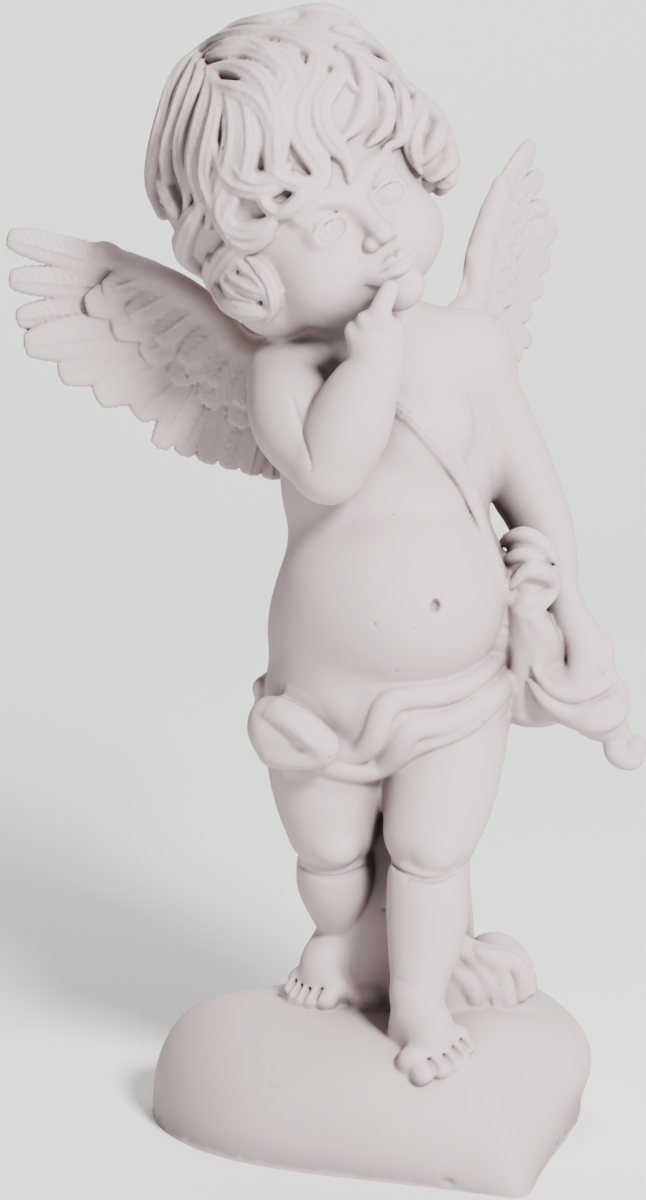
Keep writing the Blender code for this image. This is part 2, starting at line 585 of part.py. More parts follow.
def wing_form(clay, wing, relief=None):
    """The wing is laid out flat: out from the shoulder, forward, and up."""
    plate = [(-6, -2, -36, 26, 4), (22, -2, -24, 28, 4), (52, -2, -4, 24, 4), (82, -2, 16, 16, 4)]
    clay.add(band(smooth_route(plate), (0, 1, 0), wing), 3)
    for i in range(3):
        feather(clay, wing, (74, 35 - 7 * i), 15 - 11 * i, 80 - 3 * i, 9.5, 3.4, -1.2 * i, relief=relief)
    for i in range(4):
        feather(clay, wing, (60 - 7 * i, 10 - 4 * i), -8 - 10.5 * i, 84 - 8 * i, 13, 3.4, 1.5 - 1.4 * (i % 2),
                relief=relief)
    for i in range(8):
        feather(clay, wing, (44 - 7.5 * i, -12 - 4 * i), -58 - 5 * i, 54 - 2 * i, 9, 3.4, 0.5 - 1.6 * (i % 2),
                relief=relief)
    for i in range(7):
        feather(clay, wing, (80 - 13 * i, 26 - 9 * i), -12 - 9 * i, 31, 11.5, 2.8, 4.6 + 0.8 * (i % 2), relief=relief)
    for i in range(8):
        feather(clay, wing, (78 - 12 * i, 35 - 9.5 * i), -18 - 9 * i, 24, 9, 2.6, 7 + 0.7 * (i % 2), relief=relief)
    arm = [(-16, -4, -10, 14), (8, 0, -8, 11), (28, 2, -3, 9), (43, 2, 14, 9), (60, 3, 28, 8.5), (84, 2, 39, 7.5),
           (100, 0, 45, 5.5)]
    clay.add(limb(arm, wing), 2.5)
    for i in range(5):
        clay.add(ellipsoid((96 - 13 * i, 1, 47 - 6.5 * i), (9, 5, 5.5), wing, turned(0, -28, 0)), 1.2)


def wings(clay, relief=None):
    wing_form(clay, NEAR_WING, relief)
    wing_form(clay, Frame(FAR_WING.origin, FAR_WING.turn, FAR_WING.scale * FAR_WING_SHARE), relief)


# The cloth

def fold(clay, points, blend=3.0, facing=(0, -1, 0), relief=None):
    clay.add(band(smooth_route(points), facing, FIGURE, relief), blend)


def over(clay, route, width, height, rise, blend, eye=EYE, relief=None, tips=(1.0, 1.0)):
    """Lays a fold over the clay along places (x, z)."""
    stations, facing = laid(clay, smooth_route(route, 3), width, height, rise, eye, tips, 0.0)
    clay.add(band(stations, facing, FIGURE, relief), blend)


# The folds across the front, as places (x, z)
UPPER_ROLL = [(74, 209), (67, 194), (56, 182), (45, 175), (33, 172), (21, 171), (12, 169), (6, 162),
              (3, 151), (-3, 143), (-12, 141), (-21, 144), (-28, 150), (-35, 160), (-43, 164)]
LOWER_ROLL = [(77, 200), (72, 183), (61, 170), (50, 162), (37, 156), (25, 156), (18, 151), (14, 142),
              (7, 135), (-3, 132), (-15, 133), (-25, 137), (-34, 142), (-45, 143)]
HEM = [(75, 190), (72, 178), (64, 168), (53, 156), (40, 149), (28, 146), (21, 142), (14, 135)]
STRAP = [(-44, 348), (-28, 344), (-10, 336), (7, 328), (22, 318), (34, 304), (45, 291), (54, 271),
         (62, 248), (70, 230), (77, 215)]


def hip_cloth(clay):
    """Three rolls from the knot across the front of the hips, and plainer ones round the back."""
    before = [laid(clay, smooth_route(route, 3), width, height, rise)
              for route, width, height, rise in ((LOWER_ROLL, 15, 3.5, 0), (UPPER_ROLL, 7.0, 6, 2),
                                                 (LOWER_ROLL, 7.5, 6.5, 2), (HEM, 5.0, 5.5, 1))]
    for (stations, facing), blend in zip(before, (3, 1.5, 1.5, 1.5)):
        clay.add(band(stations, facing, FIGURE), blend)
    clay.add(ellipsoid((-50, -20, 158), (12, 15, 14), FIGURE), 3)
    fold(clay, [(-38, -44, 166, 5, 5), (-46, -40, 167, 6.5, 6), (-54, -32, 162, 7.5, 6.5), (-58, -26, 153, 8, 7)],
         1.5, (-0.3, -0.8, 0.4), strands(2, 1.2))
    fold(clay, [(-36, -44, 156, 5, 4), (-43, -40, 157, 6, 5), (-48, -35, 153, 6.5, 6), (-49, -32, 147, 6, 5)],
         1.5, (-0.2, -0.9, 0.3))
    backs = []
    for k in range(3):
        route = [(-58 + 13 * i, 152 + 10 * k + (40 - 6 * k) * (i / 10) ** 2) for i in range(11)]
        backs.append(laid(clay, smooth_route(route, 2), 6.5, 5, 1.5, BACK_EYE, furthest=-10))
    for stations, facing in backs:
        clay.add(band(stations, facing, FIGURE), 2)


def strap(clay):
    over(clay, STRAP, 4.2, 2.4, 0.6, 1.2, relief=strands(3, 0.8))
    over(clay, [(-34, 352), (-20, 334), (0, 312), (26, 284), (50, 256), (66, 232)], 4.6, 2.6, 0.6, 1.5, BACK_EYE)


def knot(clay):
    """The knot at the hip, the loops above it and the cloth that hangs below it."""
    clay.add(ellipsoid((79, -14, 240), (10, 14, 20), FIGURE), 4)
    for x, y, z in ((74, -17, 252), (75, -24, 241)):
        fold(clay, [(x - 2, y, z - 6, 4, 5), (x + 1, y - 2, z + 3, 6, 7), (x + 7, y - 1, z + 6, 6.5, 7),
                    (x + 14, y + 5, z + 2, 5, 6)], 1.2, (-0.6, -0.3, 0.8), strands(2, 1.0))
    clay.add(ellipsoid((86, -29, 232.5), (8.5, 7, 11), FIGURE, turned(0, 25, 0)), 1.2)
    clay.cut(ellipsoid((88, -36, 233), (3.6, 6, 6.5), FIGURE, turned(0, 25, 0)), 2)
    fold(clay, [(80, -20, 222, 8, 9), (84, -10, 206, 13, 10), (87, -2, 184, 18, 10), (89, 2, 162, 19, 9)], 2.5)
    for route in ([(76, 216), (78, 200), (79, 182), (79, 160)], [(80, 214), (86, 200), (90, 182), (91, 158)],
                  [(84, 214), (94, 202), (101, 186), (104, 160)]):
        over(clay, route, 4.5, 4.5, 0, 2, tips=(0.6, 1))
    clay.add(ellipsoid((75.5, -35, 223.5), (6.3, 6, 5.2), FIGURE), 1.2)


def hand_cloth(clay):
    """The gathered end of the cloth, held in the figure's left hand."""
    clay.add(ellipsoid((108, -14, 173), (24, 12, 17), FIGURE, turned(0, 18, 0)), 3)
    clay.add(limb([(118, -14, 163, 13), (127, -12, 153, 7.5), (131, -11, 149, 5)], FIGURE), 3)
    folds = [laid(clay, smooth_route(route, 4), 4.6, 4.4, 0.2, tips=(0.5, 0.8))
             for route in ([(129, 152), (132, 163), (130, 179), (124, 198)],
                           [(127, 153), (124, 163), (117, 177), (108, 187), (100, 189)],
                           [(126, 152), (116, 159), (104, 169), (95, 179), (90, 187)],
                           [(125, 151), (110, 154), (97, 161), (88, 171), (84, 184)])]
    for stations, facing in folds:
        clay.add(band(stations, facing, FIGURE), 1.8)
    clay.add(ball((137, -12, 144.5), 8, FIGURE), 1.2)


def drapery(clay):
    hip_cloth(clay)
    strap(clay)
    knot(clay)


def support(clay):
    """The cloth behind the legs that carries the figure, and its heap on the base."""
    body = FIGURE
    clay.add(limb([(2, 22, 150, 22), (0, 24, 90, 17), (-1, 22, 45, 15), (-1, 14, 8, 13)], body), 5)
    clay.add(limb([(34, 20, 150, 26), (34, 18, 108, 22), (33, 14, 66, 20), (33, 12, 30, 19), (36, 12, 4, 22)], body), 5)
    clay.add(limb([(18, 30, 150, 30), (17, 32, 60, 26), (18, 30, 0, 30)], body), 7)
    for i in range(5):
        lean = 3 * math.sin(2.1 * i)
        clay.add(limb([(-16 + 15 * i, 50 - 3 * abs(i - 2), 150, 7), (-12 + 14 * i + lean, 53 - 3 * abs(i - 2), 80, 7),
                       (-18 + 17 * i, 52 - 3 * abs(i - 2), 6, 9)], body), 4)
    clay.add(ellipsoid((66, 24, 10), (24, 18, 21), body), 5)
    clay.add(limb([(54, 12, 30, 7), (55, 3, 15, 11), (57, -1, 3, 12)], body), 3)
    for i in range(3):
        clay.add(limb([(67 + 8 * i, 17 + 2 * i, 31 - 3 * i, 5), (72 + 8 * i, 8 + 3 * i, 18 - 2 * i, 5.5),
                       (73 + 8 * i, 6 + 4 * i, 2 - i, 6)], body), 1.5)


HEART_MIDDLE = np.array((25.0, -5.0))
# The swell of each lobe: how far across and along it stands, and its radii, as shares of the base's own sizes
LOBES = [(-0.13, 0.247, 0.263, 0.214, 0.50), (0.20, 0.024, 0.233, 0.239, 0.47)]


def heart_outline(count=240):
    """The base's outline seen from above: the well known curve for a heart, from its point round and back."""
    t = np.linspace(math.pi, -math.pi, count, endpoint=False)
    to_point = np.clip(2 * np.abs(t) / math.pi - 0.5, 0, 1)
    hollow = 1.63 + 0.71 * to_point ** 2 * (3 - 2 * to_point)
    across = np.sign(np.sin(t)) * np.abs(np.sin(t)) ** hollow
    along = 13 * np.cos(t) - 5 * np.cos(2 * t) - 2 * np.cos(3 * t) - np.cos(4 * t) + 17
    v = BASE_WIDTH / 2 * across
    u = BASE_LENGTH / 28.9 * along
    u = u - BASE_LENGTH / 2
    a = math.radians(BASE_TURN)
    x = HEART_MIDDLE[0] + v * math.cos(a) - u * math.sin(a)
    y = HEART_MIDDLE[1] + v * math.sin(a) + u * math.cos(a)
    return np.stack([x, y], 1)


def polygon_distance(outline, x, y):
    """Signed distance from points of a plane to a closed outline, below zero inside it."""
    best = np.full(np.broadcast(x, y).shape, FAR ** 2)
    inside = np.zeros(best.shape, bool)
    for a, b in zip(outline, np.roll(outline, -1, 0)):
        run = b - a
        along = np.clip(((x - a[0]) * run[0] + (y - a[1]) * run[1]) / (run @ run), 0, 1)
        best = np.minimum(best, (x - a[0] - along * run[0]) ** 2 + (y - a[1] - along * run[1]) ** 2)
        straddles = (a[1] > y) != (b[1] > y)
        if abs(run[1]) > 1e-9:
            inside ^= straddles & (x < a[0] + (y - a[1]) * run[0] / run[1])
    return np.where(inside, -1, 1) * np.sqrt(best)


def heart_base(clay):
    """A cushion in the shape of a heart: full at its lobes, with hollow flanks that run out to its point."""
    outline = heart_outline()
    low = np.array([*outline.min(0), -BELOW_FLOOR])
    high = np.array([*outline.max(0), BASE_HEIGHT])
    a = math.radians(BASE_TURN)
    point = HEART_MIDDLE + BASE_LENGTH / 2 * np.array((math.sin(a), -math.cos(a)))

    def distance(x, y, z):
        edge = polygon_distance(outline, x[:, :, 0], y[:, :, 0])
        for _ in range(3):
            edge[1:-1, 1:-1] = (edge[:-2, 1:-1] + edge[2:, 1:-1] + edge[1:-1, :-2] + edge[1:-1, 2:]) / 4
        from_point = np.hypot(x - point[0], y - point[1])[:, :, :1]
        fullness = np.clip(from_point / 120, 0, 1)
        fullness = fullness ** 2 * (3 - 2 * fullness)
        inward = np.clip(1 + edge[:, :, None] / BASE_ROUNDING, 0, None)
        up = np.clip(z / BASE_HEIGHT, 0, None)
        power = 1.25 + 1.2 * fullness
        pillow = ((inward ** power + up ** power) ** (1 / power) - 1) * 50
        return np.maximum(pillow, -BELOW_FLOOR - z).astype(np.float32)

    clay.add((low, high, distance), 5)
    for across, along, wide, deep, high in LOBES:
        v, u = across * BASE_WIDTH, along * BASE_LENGTH
        x = HEART_MIDDLE[0] + v * math.cos(a) - u * math.sin(a)
        y = HEART_MIDDLE[1] + v * math.sin(a) + u * math.cos(a)
        radii = (wide * BASE_WIDTH, deep * BASE_LENGTH, high * BASE_HEIGHT)
        clay.add(ellipsoid((x, y, BASE_HEIGHT / 2), radii, FLOOR), 14)


def room():
    """The box that holds the figure and its base, with a margin: its lowest and highest corner."""
    heart = heart_outline()
    low, high = FIGURE.out(FIGURE_LOW), FIGURE.out(FIGURE_HIGH)
    low[:2], high[:2] = np.minimum(low[:2], heart.min(0) - 12), np.maximum(high[:2], heart.max(0) + 12)
    low[2] = -BELOW_FLOOR - 3
    return low, high


def sculpt(clay, relief=None):
    """Builds the whole statue up in the clay. Each form is laid on those before it."""
    heart_base(clay)
    trunk(clay)
    support(clay)
    legs(clay)
    drapery(clay)
    wings(clay, relief)
    arms(clay)
    hand_cloth(clay)
    head(clay)
    hair(clay)


def mesh_object(name, points, faces, home):
    mesh = bpy.data.meshes.new(name)
    mesh.from_pydata((np.asarray(points) * MM).tolist(), [], np.asarray(faces).tolist())
    obj = bpy.data.objects.new(name, mesh)
    home.objects.link(obj)
    return obj


def box(name, low, high, home):
    corners = [(x, y, z) for x in (low[0], high[0]) for y in (low[1], high[1]) for z in (low[2], high[2])]
    faces = [(0, 1, 3, 2), (4, 6, 7, 5), (0, 4, 5, 1), (2, 3, 7, 6), (0, 2, 6, 4), (1, 5, 7, 3)]
    return mesh_object(name, corners, faces, home)


def bake(obj):
    """Makes the object's mesh what its modifiers show."""
    result = obj.evaluated_get(bpy.context.evaluated_depsgraph_get())
    mesh = bpy.data.meshes.new_from_object(result)
    obj.modifiers.clear()
    obj.data = mesh


def cast(points, faces, home, tools):
    """Turns the clay's skin into one light, closed mesh that is cut flat underneath."""
    statue = mesh_object(NAME, points, faces, home)
    fuse = statue.modifiers.new("fuse", "REMESH")
    fuse.mode = "VOXEL"
    fuse.voxel_size = FUSE_VOXEL * MM
    bake(statue)
    triangles = sum(len(face.vertices) - 2 for face in statue.data.polygons)
    thin = statue.modifiers.new("thin", "DECIMATE")
    thin.ratio = TRIANGLES / triangles
    low, high = room()
    floor = box("floor_cutter", (*(low[:2] - BELOW_FLOOR), 4 * low[2]), (*(high[:2] + BELOW_FLOOR), 0), tools)
    floor.hide_render = True
    floor.display_type = "WIRE"
    flat = statue.modifiers.new("flat", "BOOLEAN")
    flat.operation = "DIFFERENCE"
    flat.solver = "EXACT"
    flat.object = floor
    bake(statue)
    mesh = bmesh.new()
    mesh.from_mesh(statue.data)
    bmesh.ops.remove_doubles(mesh, verts=mesh.verts, dist=0.00005)
    bmesh.ops.triangulate(mesh, faces=mesh.faces)
    mesh.to_mesh(statue.data)
    mesh.free()
    return statue


def plaster():
    material = bpy.data.materials.new("plaster")
    material.use_nodes = True
    shader = material.node_tree.nodes["Principled BSDF"]
    shader.inputs["Base Color"].default_value = (0.74, 0.68, 0.68, 1)
    shader.inputs["Roughness"].default_value = 0.85
    shader.inputs["Metallic"].default_value = 0.0
    return material


def collection(name):
    made = bpy.data.collections.new(name)
    bpy.context.scene.collection.children.link(made)
    return made


def main():
    for obj in list(bpy.data.objects):
        bpy.data.objects.remove(obj)
    home, tools = collection(NAME), collection("cutters")
    clay = Clay(*room(), CLAY_CELL)
    sculpt(clay)
    statue = cast(*clay.skin(), home, tools)
    statue.data.materials.append(plaster())


main()
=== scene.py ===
"""The plaster cupid as it is finished: one cast piece on a pale floor.

Sizes are written in millimetres and made into metres when a mesh is built. +X is to the right of
someone who faces the statue, +Y is behind it and +Z is up. The origin is on the base's underside.
"""
import json
import math

import bpy
import numpy as np
from mathutils import Matrix, Vector

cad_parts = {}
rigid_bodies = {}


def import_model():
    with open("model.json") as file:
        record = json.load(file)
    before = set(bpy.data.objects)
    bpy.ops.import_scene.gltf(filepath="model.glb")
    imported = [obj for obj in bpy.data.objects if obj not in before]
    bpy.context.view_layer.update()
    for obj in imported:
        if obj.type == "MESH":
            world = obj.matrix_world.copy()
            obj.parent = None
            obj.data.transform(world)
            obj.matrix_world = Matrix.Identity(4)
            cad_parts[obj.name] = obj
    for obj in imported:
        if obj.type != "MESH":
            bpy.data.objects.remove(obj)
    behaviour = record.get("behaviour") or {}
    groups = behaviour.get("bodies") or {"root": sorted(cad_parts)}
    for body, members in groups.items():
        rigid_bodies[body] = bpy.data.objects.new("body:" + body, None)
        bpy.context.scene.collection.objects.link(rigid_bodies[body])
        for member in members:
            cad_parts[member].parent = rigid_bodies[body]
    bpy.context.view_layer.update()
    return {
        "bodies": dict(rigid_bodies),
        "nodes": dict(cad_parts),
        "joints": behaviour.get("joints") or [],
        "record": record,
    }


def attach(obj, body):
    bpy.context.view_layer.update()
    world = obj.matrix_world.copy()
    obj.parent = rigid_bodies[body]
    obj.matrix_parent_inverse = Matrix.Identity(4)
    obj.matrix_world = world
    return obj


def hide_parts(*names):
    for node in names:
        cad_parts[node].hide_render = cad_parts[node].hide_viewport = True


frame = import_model()

MM = 0.001
NAME = "cupid_statue"

# Driving sizes, in millimetres
FIGURE_HEIGHT = 534.0  # from the crown of the base to the top of the hair
BASE_WIDTH = 236.0  # the heart, across its lobes
BASE_LENGTH = 243.0  # the heart, from its point to the back of its lobes
BASE_HEIGHT = 68.0  # the crown of the heart above the floor
BASE_ROUNDING = 62.0  # how far in from its rim the cushion reaches its full height
BASE_TURN = 27.5  # degrees that the heart's point is turned to the viewer's right
RIDGE_SOFTNESS = 7.0  # how far the ridge that runs to the heart's point is rounded

# How finely the clay is worked, in millimetres, and the triangles of the finished piece
CLAY_CELL = 1.05
TRIANGLES = 195000
FLAT = 0.05  # what is nearer to the floor than this is set flat on it
SEED = 5  # for the places of the chips and pinholes
CHIPS, PINHOLES = 26, 30
BARB_DEPTH = 0.8  # how deep the barbs of a feather are carved
LOCK_STRANDS = 3  # how many strands a lock of hair shows

SHARE = FIGURE_HEIGHT / 534  # the figure's landmarks below are in 534ths of its height
FAR = 1e3  # a distance that is further than anything here
BAND_MARGIN = 9.0  # the clay is worked this far round each length of a band,
LIMB_MARGIN = 24.0  # and this far round each length of a limb
LIMB_STEPS = 8  # lengths between two stations of a limb
ROUTE_STEPS = 23  # lengths of a lock's route
HIT_STEP = 0.4  # a line is followed in steps of this share of a cell
MISS_REACH = 14.0  # a line that misses the clay by less than this is drawn in to it
NORMAL_REACH = 3.0  # the way a surface faces is felt over this far to each side
BELOW_FLOOR = 5.0  # the clay goes on this far below the floor, and is cut off flat there
ROOM_MARGIN = 12.0  # the grid goes on this far beyond the base,
ROOM_BELOW = 3.0  # and this far below the clay
GROOVE_SHARPNESS = 1.5


def turned(rx, ry, rz):
    """A rotation about X, then Z, then Y, in degrees."""
    x, y, z = (Matrix.Rotation(math.radians(a), 3, axis) for a, axis in zip((rx, ry, rz), "XYZ"))
    return np.array(y @ z @ x)


class Frame:
    """A set of axes with an origin, in which a part of the figure is laid out."""

    def __init__(self, origin, turn, scale=1.0):
        self.origin = np.array(origin, float)
        self.turn = np.array(turn, float)
        self.scale = scale

    def out(self, points):
        """Points of this frame as points of the statue."""
        return self.origin + self.scale * (np.asarray(points, float) @ self.turn.T)

    def back(self, points):
        """Points of the statue as points of this frame."""
        return (np.asarray(points, float) - self.origin) @ self.turn / self.scale

    def child(self, origin, turn=None):
        turn = np.eye(3) if turn is None else turn
        return Frame(self.out(origin), self.turn @ turn, self.scale)


class Clay:
    """A grid of signed distances that rounded forms are pressed into, and that is then skinned."""

    def __init__(self, low, high, cell):
        self.low = np.array(low, np.float32)
        self.cell = cell
        size = np.ceil((np.array(high) - np.array(low)) / cell).astype(int) + 1
        self.depth = np.full(size, FAR, np.float32)

    def block(self, low, high, blend):
        """The part of the grid that a form in a box can change, and its points' coordinates."""
        margin = 2 * (blend + self.cell)
        first = np.floor((np.array(low) - margin - self.low) / self.cell).astype(int)
        last = np.ceil((np.array(high) + margin - self.low) / self.cell).astype(int) + 1
        first, last = np.clip(first, 0, self.depth.shape), np.clip(last, 0, self.depth.shape)
        where = tuple(slice(a, b) for a, b in zip(first, last))
        axes = [self.low[i] + self.cell * np.arange(first[i], last[i], dtype=np.float32)
                for i in range(3)]
        return where, np.meshgrid(*axes, indexing="ij", sparse=True)

    def work(self, form, blend, sign):
        low, high, distance = form
        where, points = self.block(low, high, blend)
        new, old = sign * distance(*points), self.depth[where]
        share = np.clip(0.5 + sign * 0.5 * (old - new) / blend, 0, 1)
        self.depth[where] = old + (new - old) * share - sign * blend * share * (1 - share)

    def add(self, form, blend):
        """Presses a form on, with a fillet about as wide as blend."""
        self.work(form, blend, 1)

    def cut(self, form, blend):
        """Cuts a form away, with an edge that is rounded about as far as blend."""
        self.work(form, blend, -1)

    def hit(self, start, way, furthest):
        """Where a line first meets the clay, or passes nearest to it, and how the clay faces there.

        The line is followed until it has come to y = furthest.
        """
        ends = (0, self.depth.shape[1] - 1)
        first = min((self.low[1] + self.cell * n - start[1]) / way[1] for n in ends)
        run = np.arange(first, (furthest - start[1]) / way[1], HIT_STEP * self.cell)
        cells = np.rint((start + run[:, None] * way - self.low) / self.cell).astype(int)
        reach = max(1, round(NORMAL_REACH / self.cell))
        cells = np.clip(cells, reach, np.array(self.depth.shape) - 1 - reach)
        depths = self.depth[tuple(cells.T)]
        solid = np.flatnonzero(depths < 0)
        n = solid[0] if len(solid) else int(np.argmin(depths))
        normal = np.array([self.depth[tuple(cells[n] + step)] - self.depth[tuple(cells[n] - step)]
                           for step in reach * np.eye(3, dtype=int)], float)
        normal /= max(1e-6, np.linalg.norm(normal))
        return start + run[n] * way - max(0, min(depths[n], MISS_REACH)) * normal, normal

    def skin(self):
        """The surface as points and four-sided faces: one point in each cell that it crosses."""
        inside = self.depth < 0
        corners = [(i, j, k) for i in (0, 1) for j in (0, 1) for k in (0, 1)]
        cells = tuple(n - 1 for n in inside.shape)
        count = np.zeros(cells, np.int8)
        for i, j, k in corners:
            count += inside[i:i + cells[0], j:j + cells[1], k:k + cells[2]]
        place = np.argwhere((count > 0) & (count < 8))
        number = np.full(cells, -1, np.int64)
        number[tuple(place.T)] = np.arange(len(place))
        total, hits = np.zeros((len(place), 3)), np.zeros(len(place))
        for start in corners:
            for axis in range(3):
                if start[axis]:
                    continue
                end = list(start)
                end[axis] = 1
                a = self.depth[tuple((place + start).T)]
                b = self.depth[tuple((place + end).T)]
                crosses = (a < 0) != (b < 0)
                step = np.where(crosses, a / np.where(crosses, a - b, 1), 0)
                point = place + np.array(start, float)
                point[:, axis] += step
                total += point * crosses[:, None]
                hits += crosses
        points = self.low + self.cell * (total / hits[:, None])
        return points, self.faces(inside, number)

    @staticmethod
    def faces(inside, number):
        """A face across each grid edge that the surface cuts, turned so that it looks out."""
        made = []
        for axis in range(3):
            u, v = (axis + 1) % 3, (axis + 2) % 3
            near = inside.take(range(inside.shape[axis] - 1), axis)
            far = inside.take(range(1, inside.shape[axis]), axis)
            edges = np.argwhere(near != far)
            edges = edges[(edges[:, u] > 0) & (edges[:, v] > 0)]
            edges = edges[(edges[:, u] < number.shape[u]) & (edges[:, v] < number.shape[v])]
            ring = []
            for du, dv in ((1, 1), (0, 1), (0, 0), (1, 0)):
                cell = edges.copy()
                cell[:, u] -= du
                cell[:, v] -= dv
                ring.append(number[tuple(cell.T)])
            quads = np.stack(ring, 1)
            outward = near[tuple(edges.T)]
            quads[~outward] = quads[~outward][:, ::-1]
            made.append(quads)
        return np.concatenate(made)


# Where things are

FIGURE = Frame((0, 0, BASE_HEIGHT), np.eye(3), SHARE)
BODY_TURN = turned(0, 0, 20)  # the trunk faces a little to the viewer's right
HEAD = FIGURE.child((-28.5, -9.4, 425), turned(-2, -30, 26))
# A wing's axes are the ways that are out from the shoulder, forward and up on it
NEAR_WING = FIGURE.child((-40, 46, 350), np.array(((-1, 0, 0), (0, -1, 0), (0, 0, 1))).T)
FAR_WING = FIGURE.child((42, 46, 366), np.array(
    ((0.505, 0.809, 0.30), (0.80, -0.57, 0.19), (-0.321, -0.147, 0.936))).T)
FAR_WING_SHARE = 0.812  # the far wing's size as a share of the near one's
FLOOR = Frame((0, 0, 0), np.eye(3))
FIGURE_LOW = (-198, -128, 0)  # nothing of the figure goes beyond these two corners
FIGURE_HIGH = (152, 158, 552)
EYE = (-24.4, -2152.0, 679.0)  # folds and locks are laid on the front as seen from here,
BACK_EYE = (0.0, 2152.0, 300.0)  # and on the back from here
FULL_WIDTH_PART = (0, 0.25, 0.7, 1)  # such a form is at its full width between the middle shares


# The forms that are pressed into the clay

def ellipsoid(centre, radii, frame=FIGURE, turn=None):
    """An ellipsoid laid out in a frame."""
    turn = np.eye(3) if turn is None else turn
    axes = (frame.turn @ turn).astype(np.float32)
    middle = frame.out(centre)
    r = np.array(radii, float) * frame.scale
    reach = np.sqrt(((axes * r) ** 2).sum(1))

    def distance(x, y, z):
        p = [x - middle[0], y - middle[1], z - middle[2]]
        q = [(axes[0, i] * p[0] + axes[1, i] * p[1] + axes[2, i] * p[2]) / r[i] for i in range(3)]
        whole = np.sqrt(q[0] ** 2 + q[1] ** 2 + q[2] ** 2)
        steep = np.sqrt((q[0] / r[0]) ** 2 + (q[1] / r[1]) ** 2 + (q[2] / r[2]) ** 2)
        return (whole * (whole - 1) / np.maximum(steep, 1e-6)).astype(np.float32)

    return middle - reach, middle + reach, distance


def ball(centre, radius, frame=FIGURE):
    return ellipsoid(centre, (radius, radius, radius), frame)


def limb(stations, frame=FIGURE):
    """A round form that runs smoothly through stations of (x, y, z, radius)."""
    rows = smooth_route(stations, LIMB_STEPS) if len(stations) > 2 else np.array(stations, float)
    points = frame.out(rows[:, :3])
    radii = rows[:, 3] * frame.scale
    low = (points - radii[:, None]).min(0)
    high = (points + radii[:, None]).max(0)

    def distance(x, y, z):
        best = np.full((x.shape[0], y.shape[1], z.shape[2]), FAR, np.float32)
        for a, b, ra, rb in zip(points[:-1], points[1:], radii[:-1], radii[1:]):
            where = near_by(x, y, z, a, b, max(ra, rb) + LIMB_MARGIN)
            px, py, pz = x[where[0]] - a[0], y[:, where[1]] - a[1], z[:, :, where[2]] - a[2]
            run = b - a
            along = np.clip((px * run[0] + py * run[1] + pz * run[2]) / (run @ run), 0, 1)
            gap = np.sqrt((px - along * run[0]) ** 2 + (py - along * run[1]) ** 2
                          + (pz - along * run[2]) ** 2)
            best[where] = np.minimum(best[where], gap - (ra + (rb - ra) * along))
        return best

    return low, high, distance


def near_by(x, y, z, a, b, reach):
    """The part of a block that lies near the line from a to b."""
    low, high = np.minimum(a, b) - reach, np.maximum(a, b) + reach
    return tuple(slice(*np.searchsorted(axis.ravel(), (low[j], high[j])))
                 for j, axis in enumerate((x, y, z)))


def band(stations, facing, frame=FIGURE, relief=None, square=2.0):
    """A long form with an oval section, such as a lock or a fold. A higher square makes it a plate.

    Each station is (x, y, z, half width, half thickness). Facing is the way its broad side looks.
    relief(along, across) is carved into the form: millimetres along it, and -1 to 1 across it.
    """
    rows = np.array(stations, float)
    points = frame.out(rows[:, :3])
    half = rows[:, 3:5] * frame.scale
    ways = np.gradient(points, axis=0)
    ways /= np.linalg.norm(ways, axis=1)[:, None]
    up = np.broadcast_to(np.asarray(facing, float), points.shape) @ frame.turn.T
    up = up - (up * ways).sum(1)[:, None] * ways
    up /= np.linalg.norm(up, axis=1)[:, None]
    side = np.cross(ways, up)
    reach = half.max(1)
    low = (points - reach[:, None]).min(0)
    high = (points + reach[:, None]).max(0)

    def distance(x, y, z):
        best = np.full((x.shape[0], y.shape[1], z.shape[2]), FAR, np.float32)
        travelled = 0.0
        for i in range(len(points) - 1):
            a, b = points[i], points[i + 1]
            length = np.linalg.norm(b - a)
            way = (b - a) / length
            where = near_by(x, y, z, a, b, max(reach[i], reach[i + 1]) + BAND_MARGIN)
            px = x[where[0]] - a[0]
            py = y[:, where[1]] - a[1]
            pz = z[:, :, where[2]] - a[2]
            along = px * way[0] + py * way[1] + pz * way[2]
            share = np.clip(along / length, 0, 1)
            beyond = along - share * length
            px, py, pz = (p - share * (length * way[j]) for j, p in enumerate((px, py, pz)))
            across, raised = 0, 0
            for end, part in ((i, 1 - share), (i + 1, share)):
                across = across + part * (px * side[end, 0] + py * side[end, 1] + pz * side[end, 2])
                raised = raised + part * (px * up[end, 0] + py * up[end, 1] + pz * up[end, 2])
            width = half[i, 0] + share * (half[i + 1, 0] - half[i, 0])
            height = half[i, 1] + share * (half[i + 1, 1] - half[i, 1])
            sides = [np.abs(across / width), np.abs(raised / height), np.abs(beyond / height)]
            if square == 2:
                ratio = np.sqrt(sides[0] ** 2 + sides[1] ** 2 + sides[2] ** 2) + 1e-6
            else:
                total = sides[0] ** square + sides[1] ** square + sides[2] ** square
                ratio = total ** (1 / square) + 1e-6
            gap = np.sqrt(across ** 2 + raised ** 2 + beyond ** 2) * (1 - 1 / ratio)
            if relief is not None:
                carved = relief(travelled + along, np.clip(across / width, -1, 1))
                gap = gap + carved * width / half[:, 0].max()
            best[where] = np.minimum(best[where], gap)
            travelled += length
        return best

    return low, high, distance


def strands(count, depth, rim=1.0):
    """Grooves that part a form lengthwise. rim is the share of their depth that its edges keep."""
    def relief(_, across):
        groove = (0.5 + 0.5 * np.cos(math.pi * count * (across + 1))) ** GROOVE_SHARPNESS
        return depth * groove * np.clip(3 * (1 - np.abs(across)), rim, 1)
    return relief


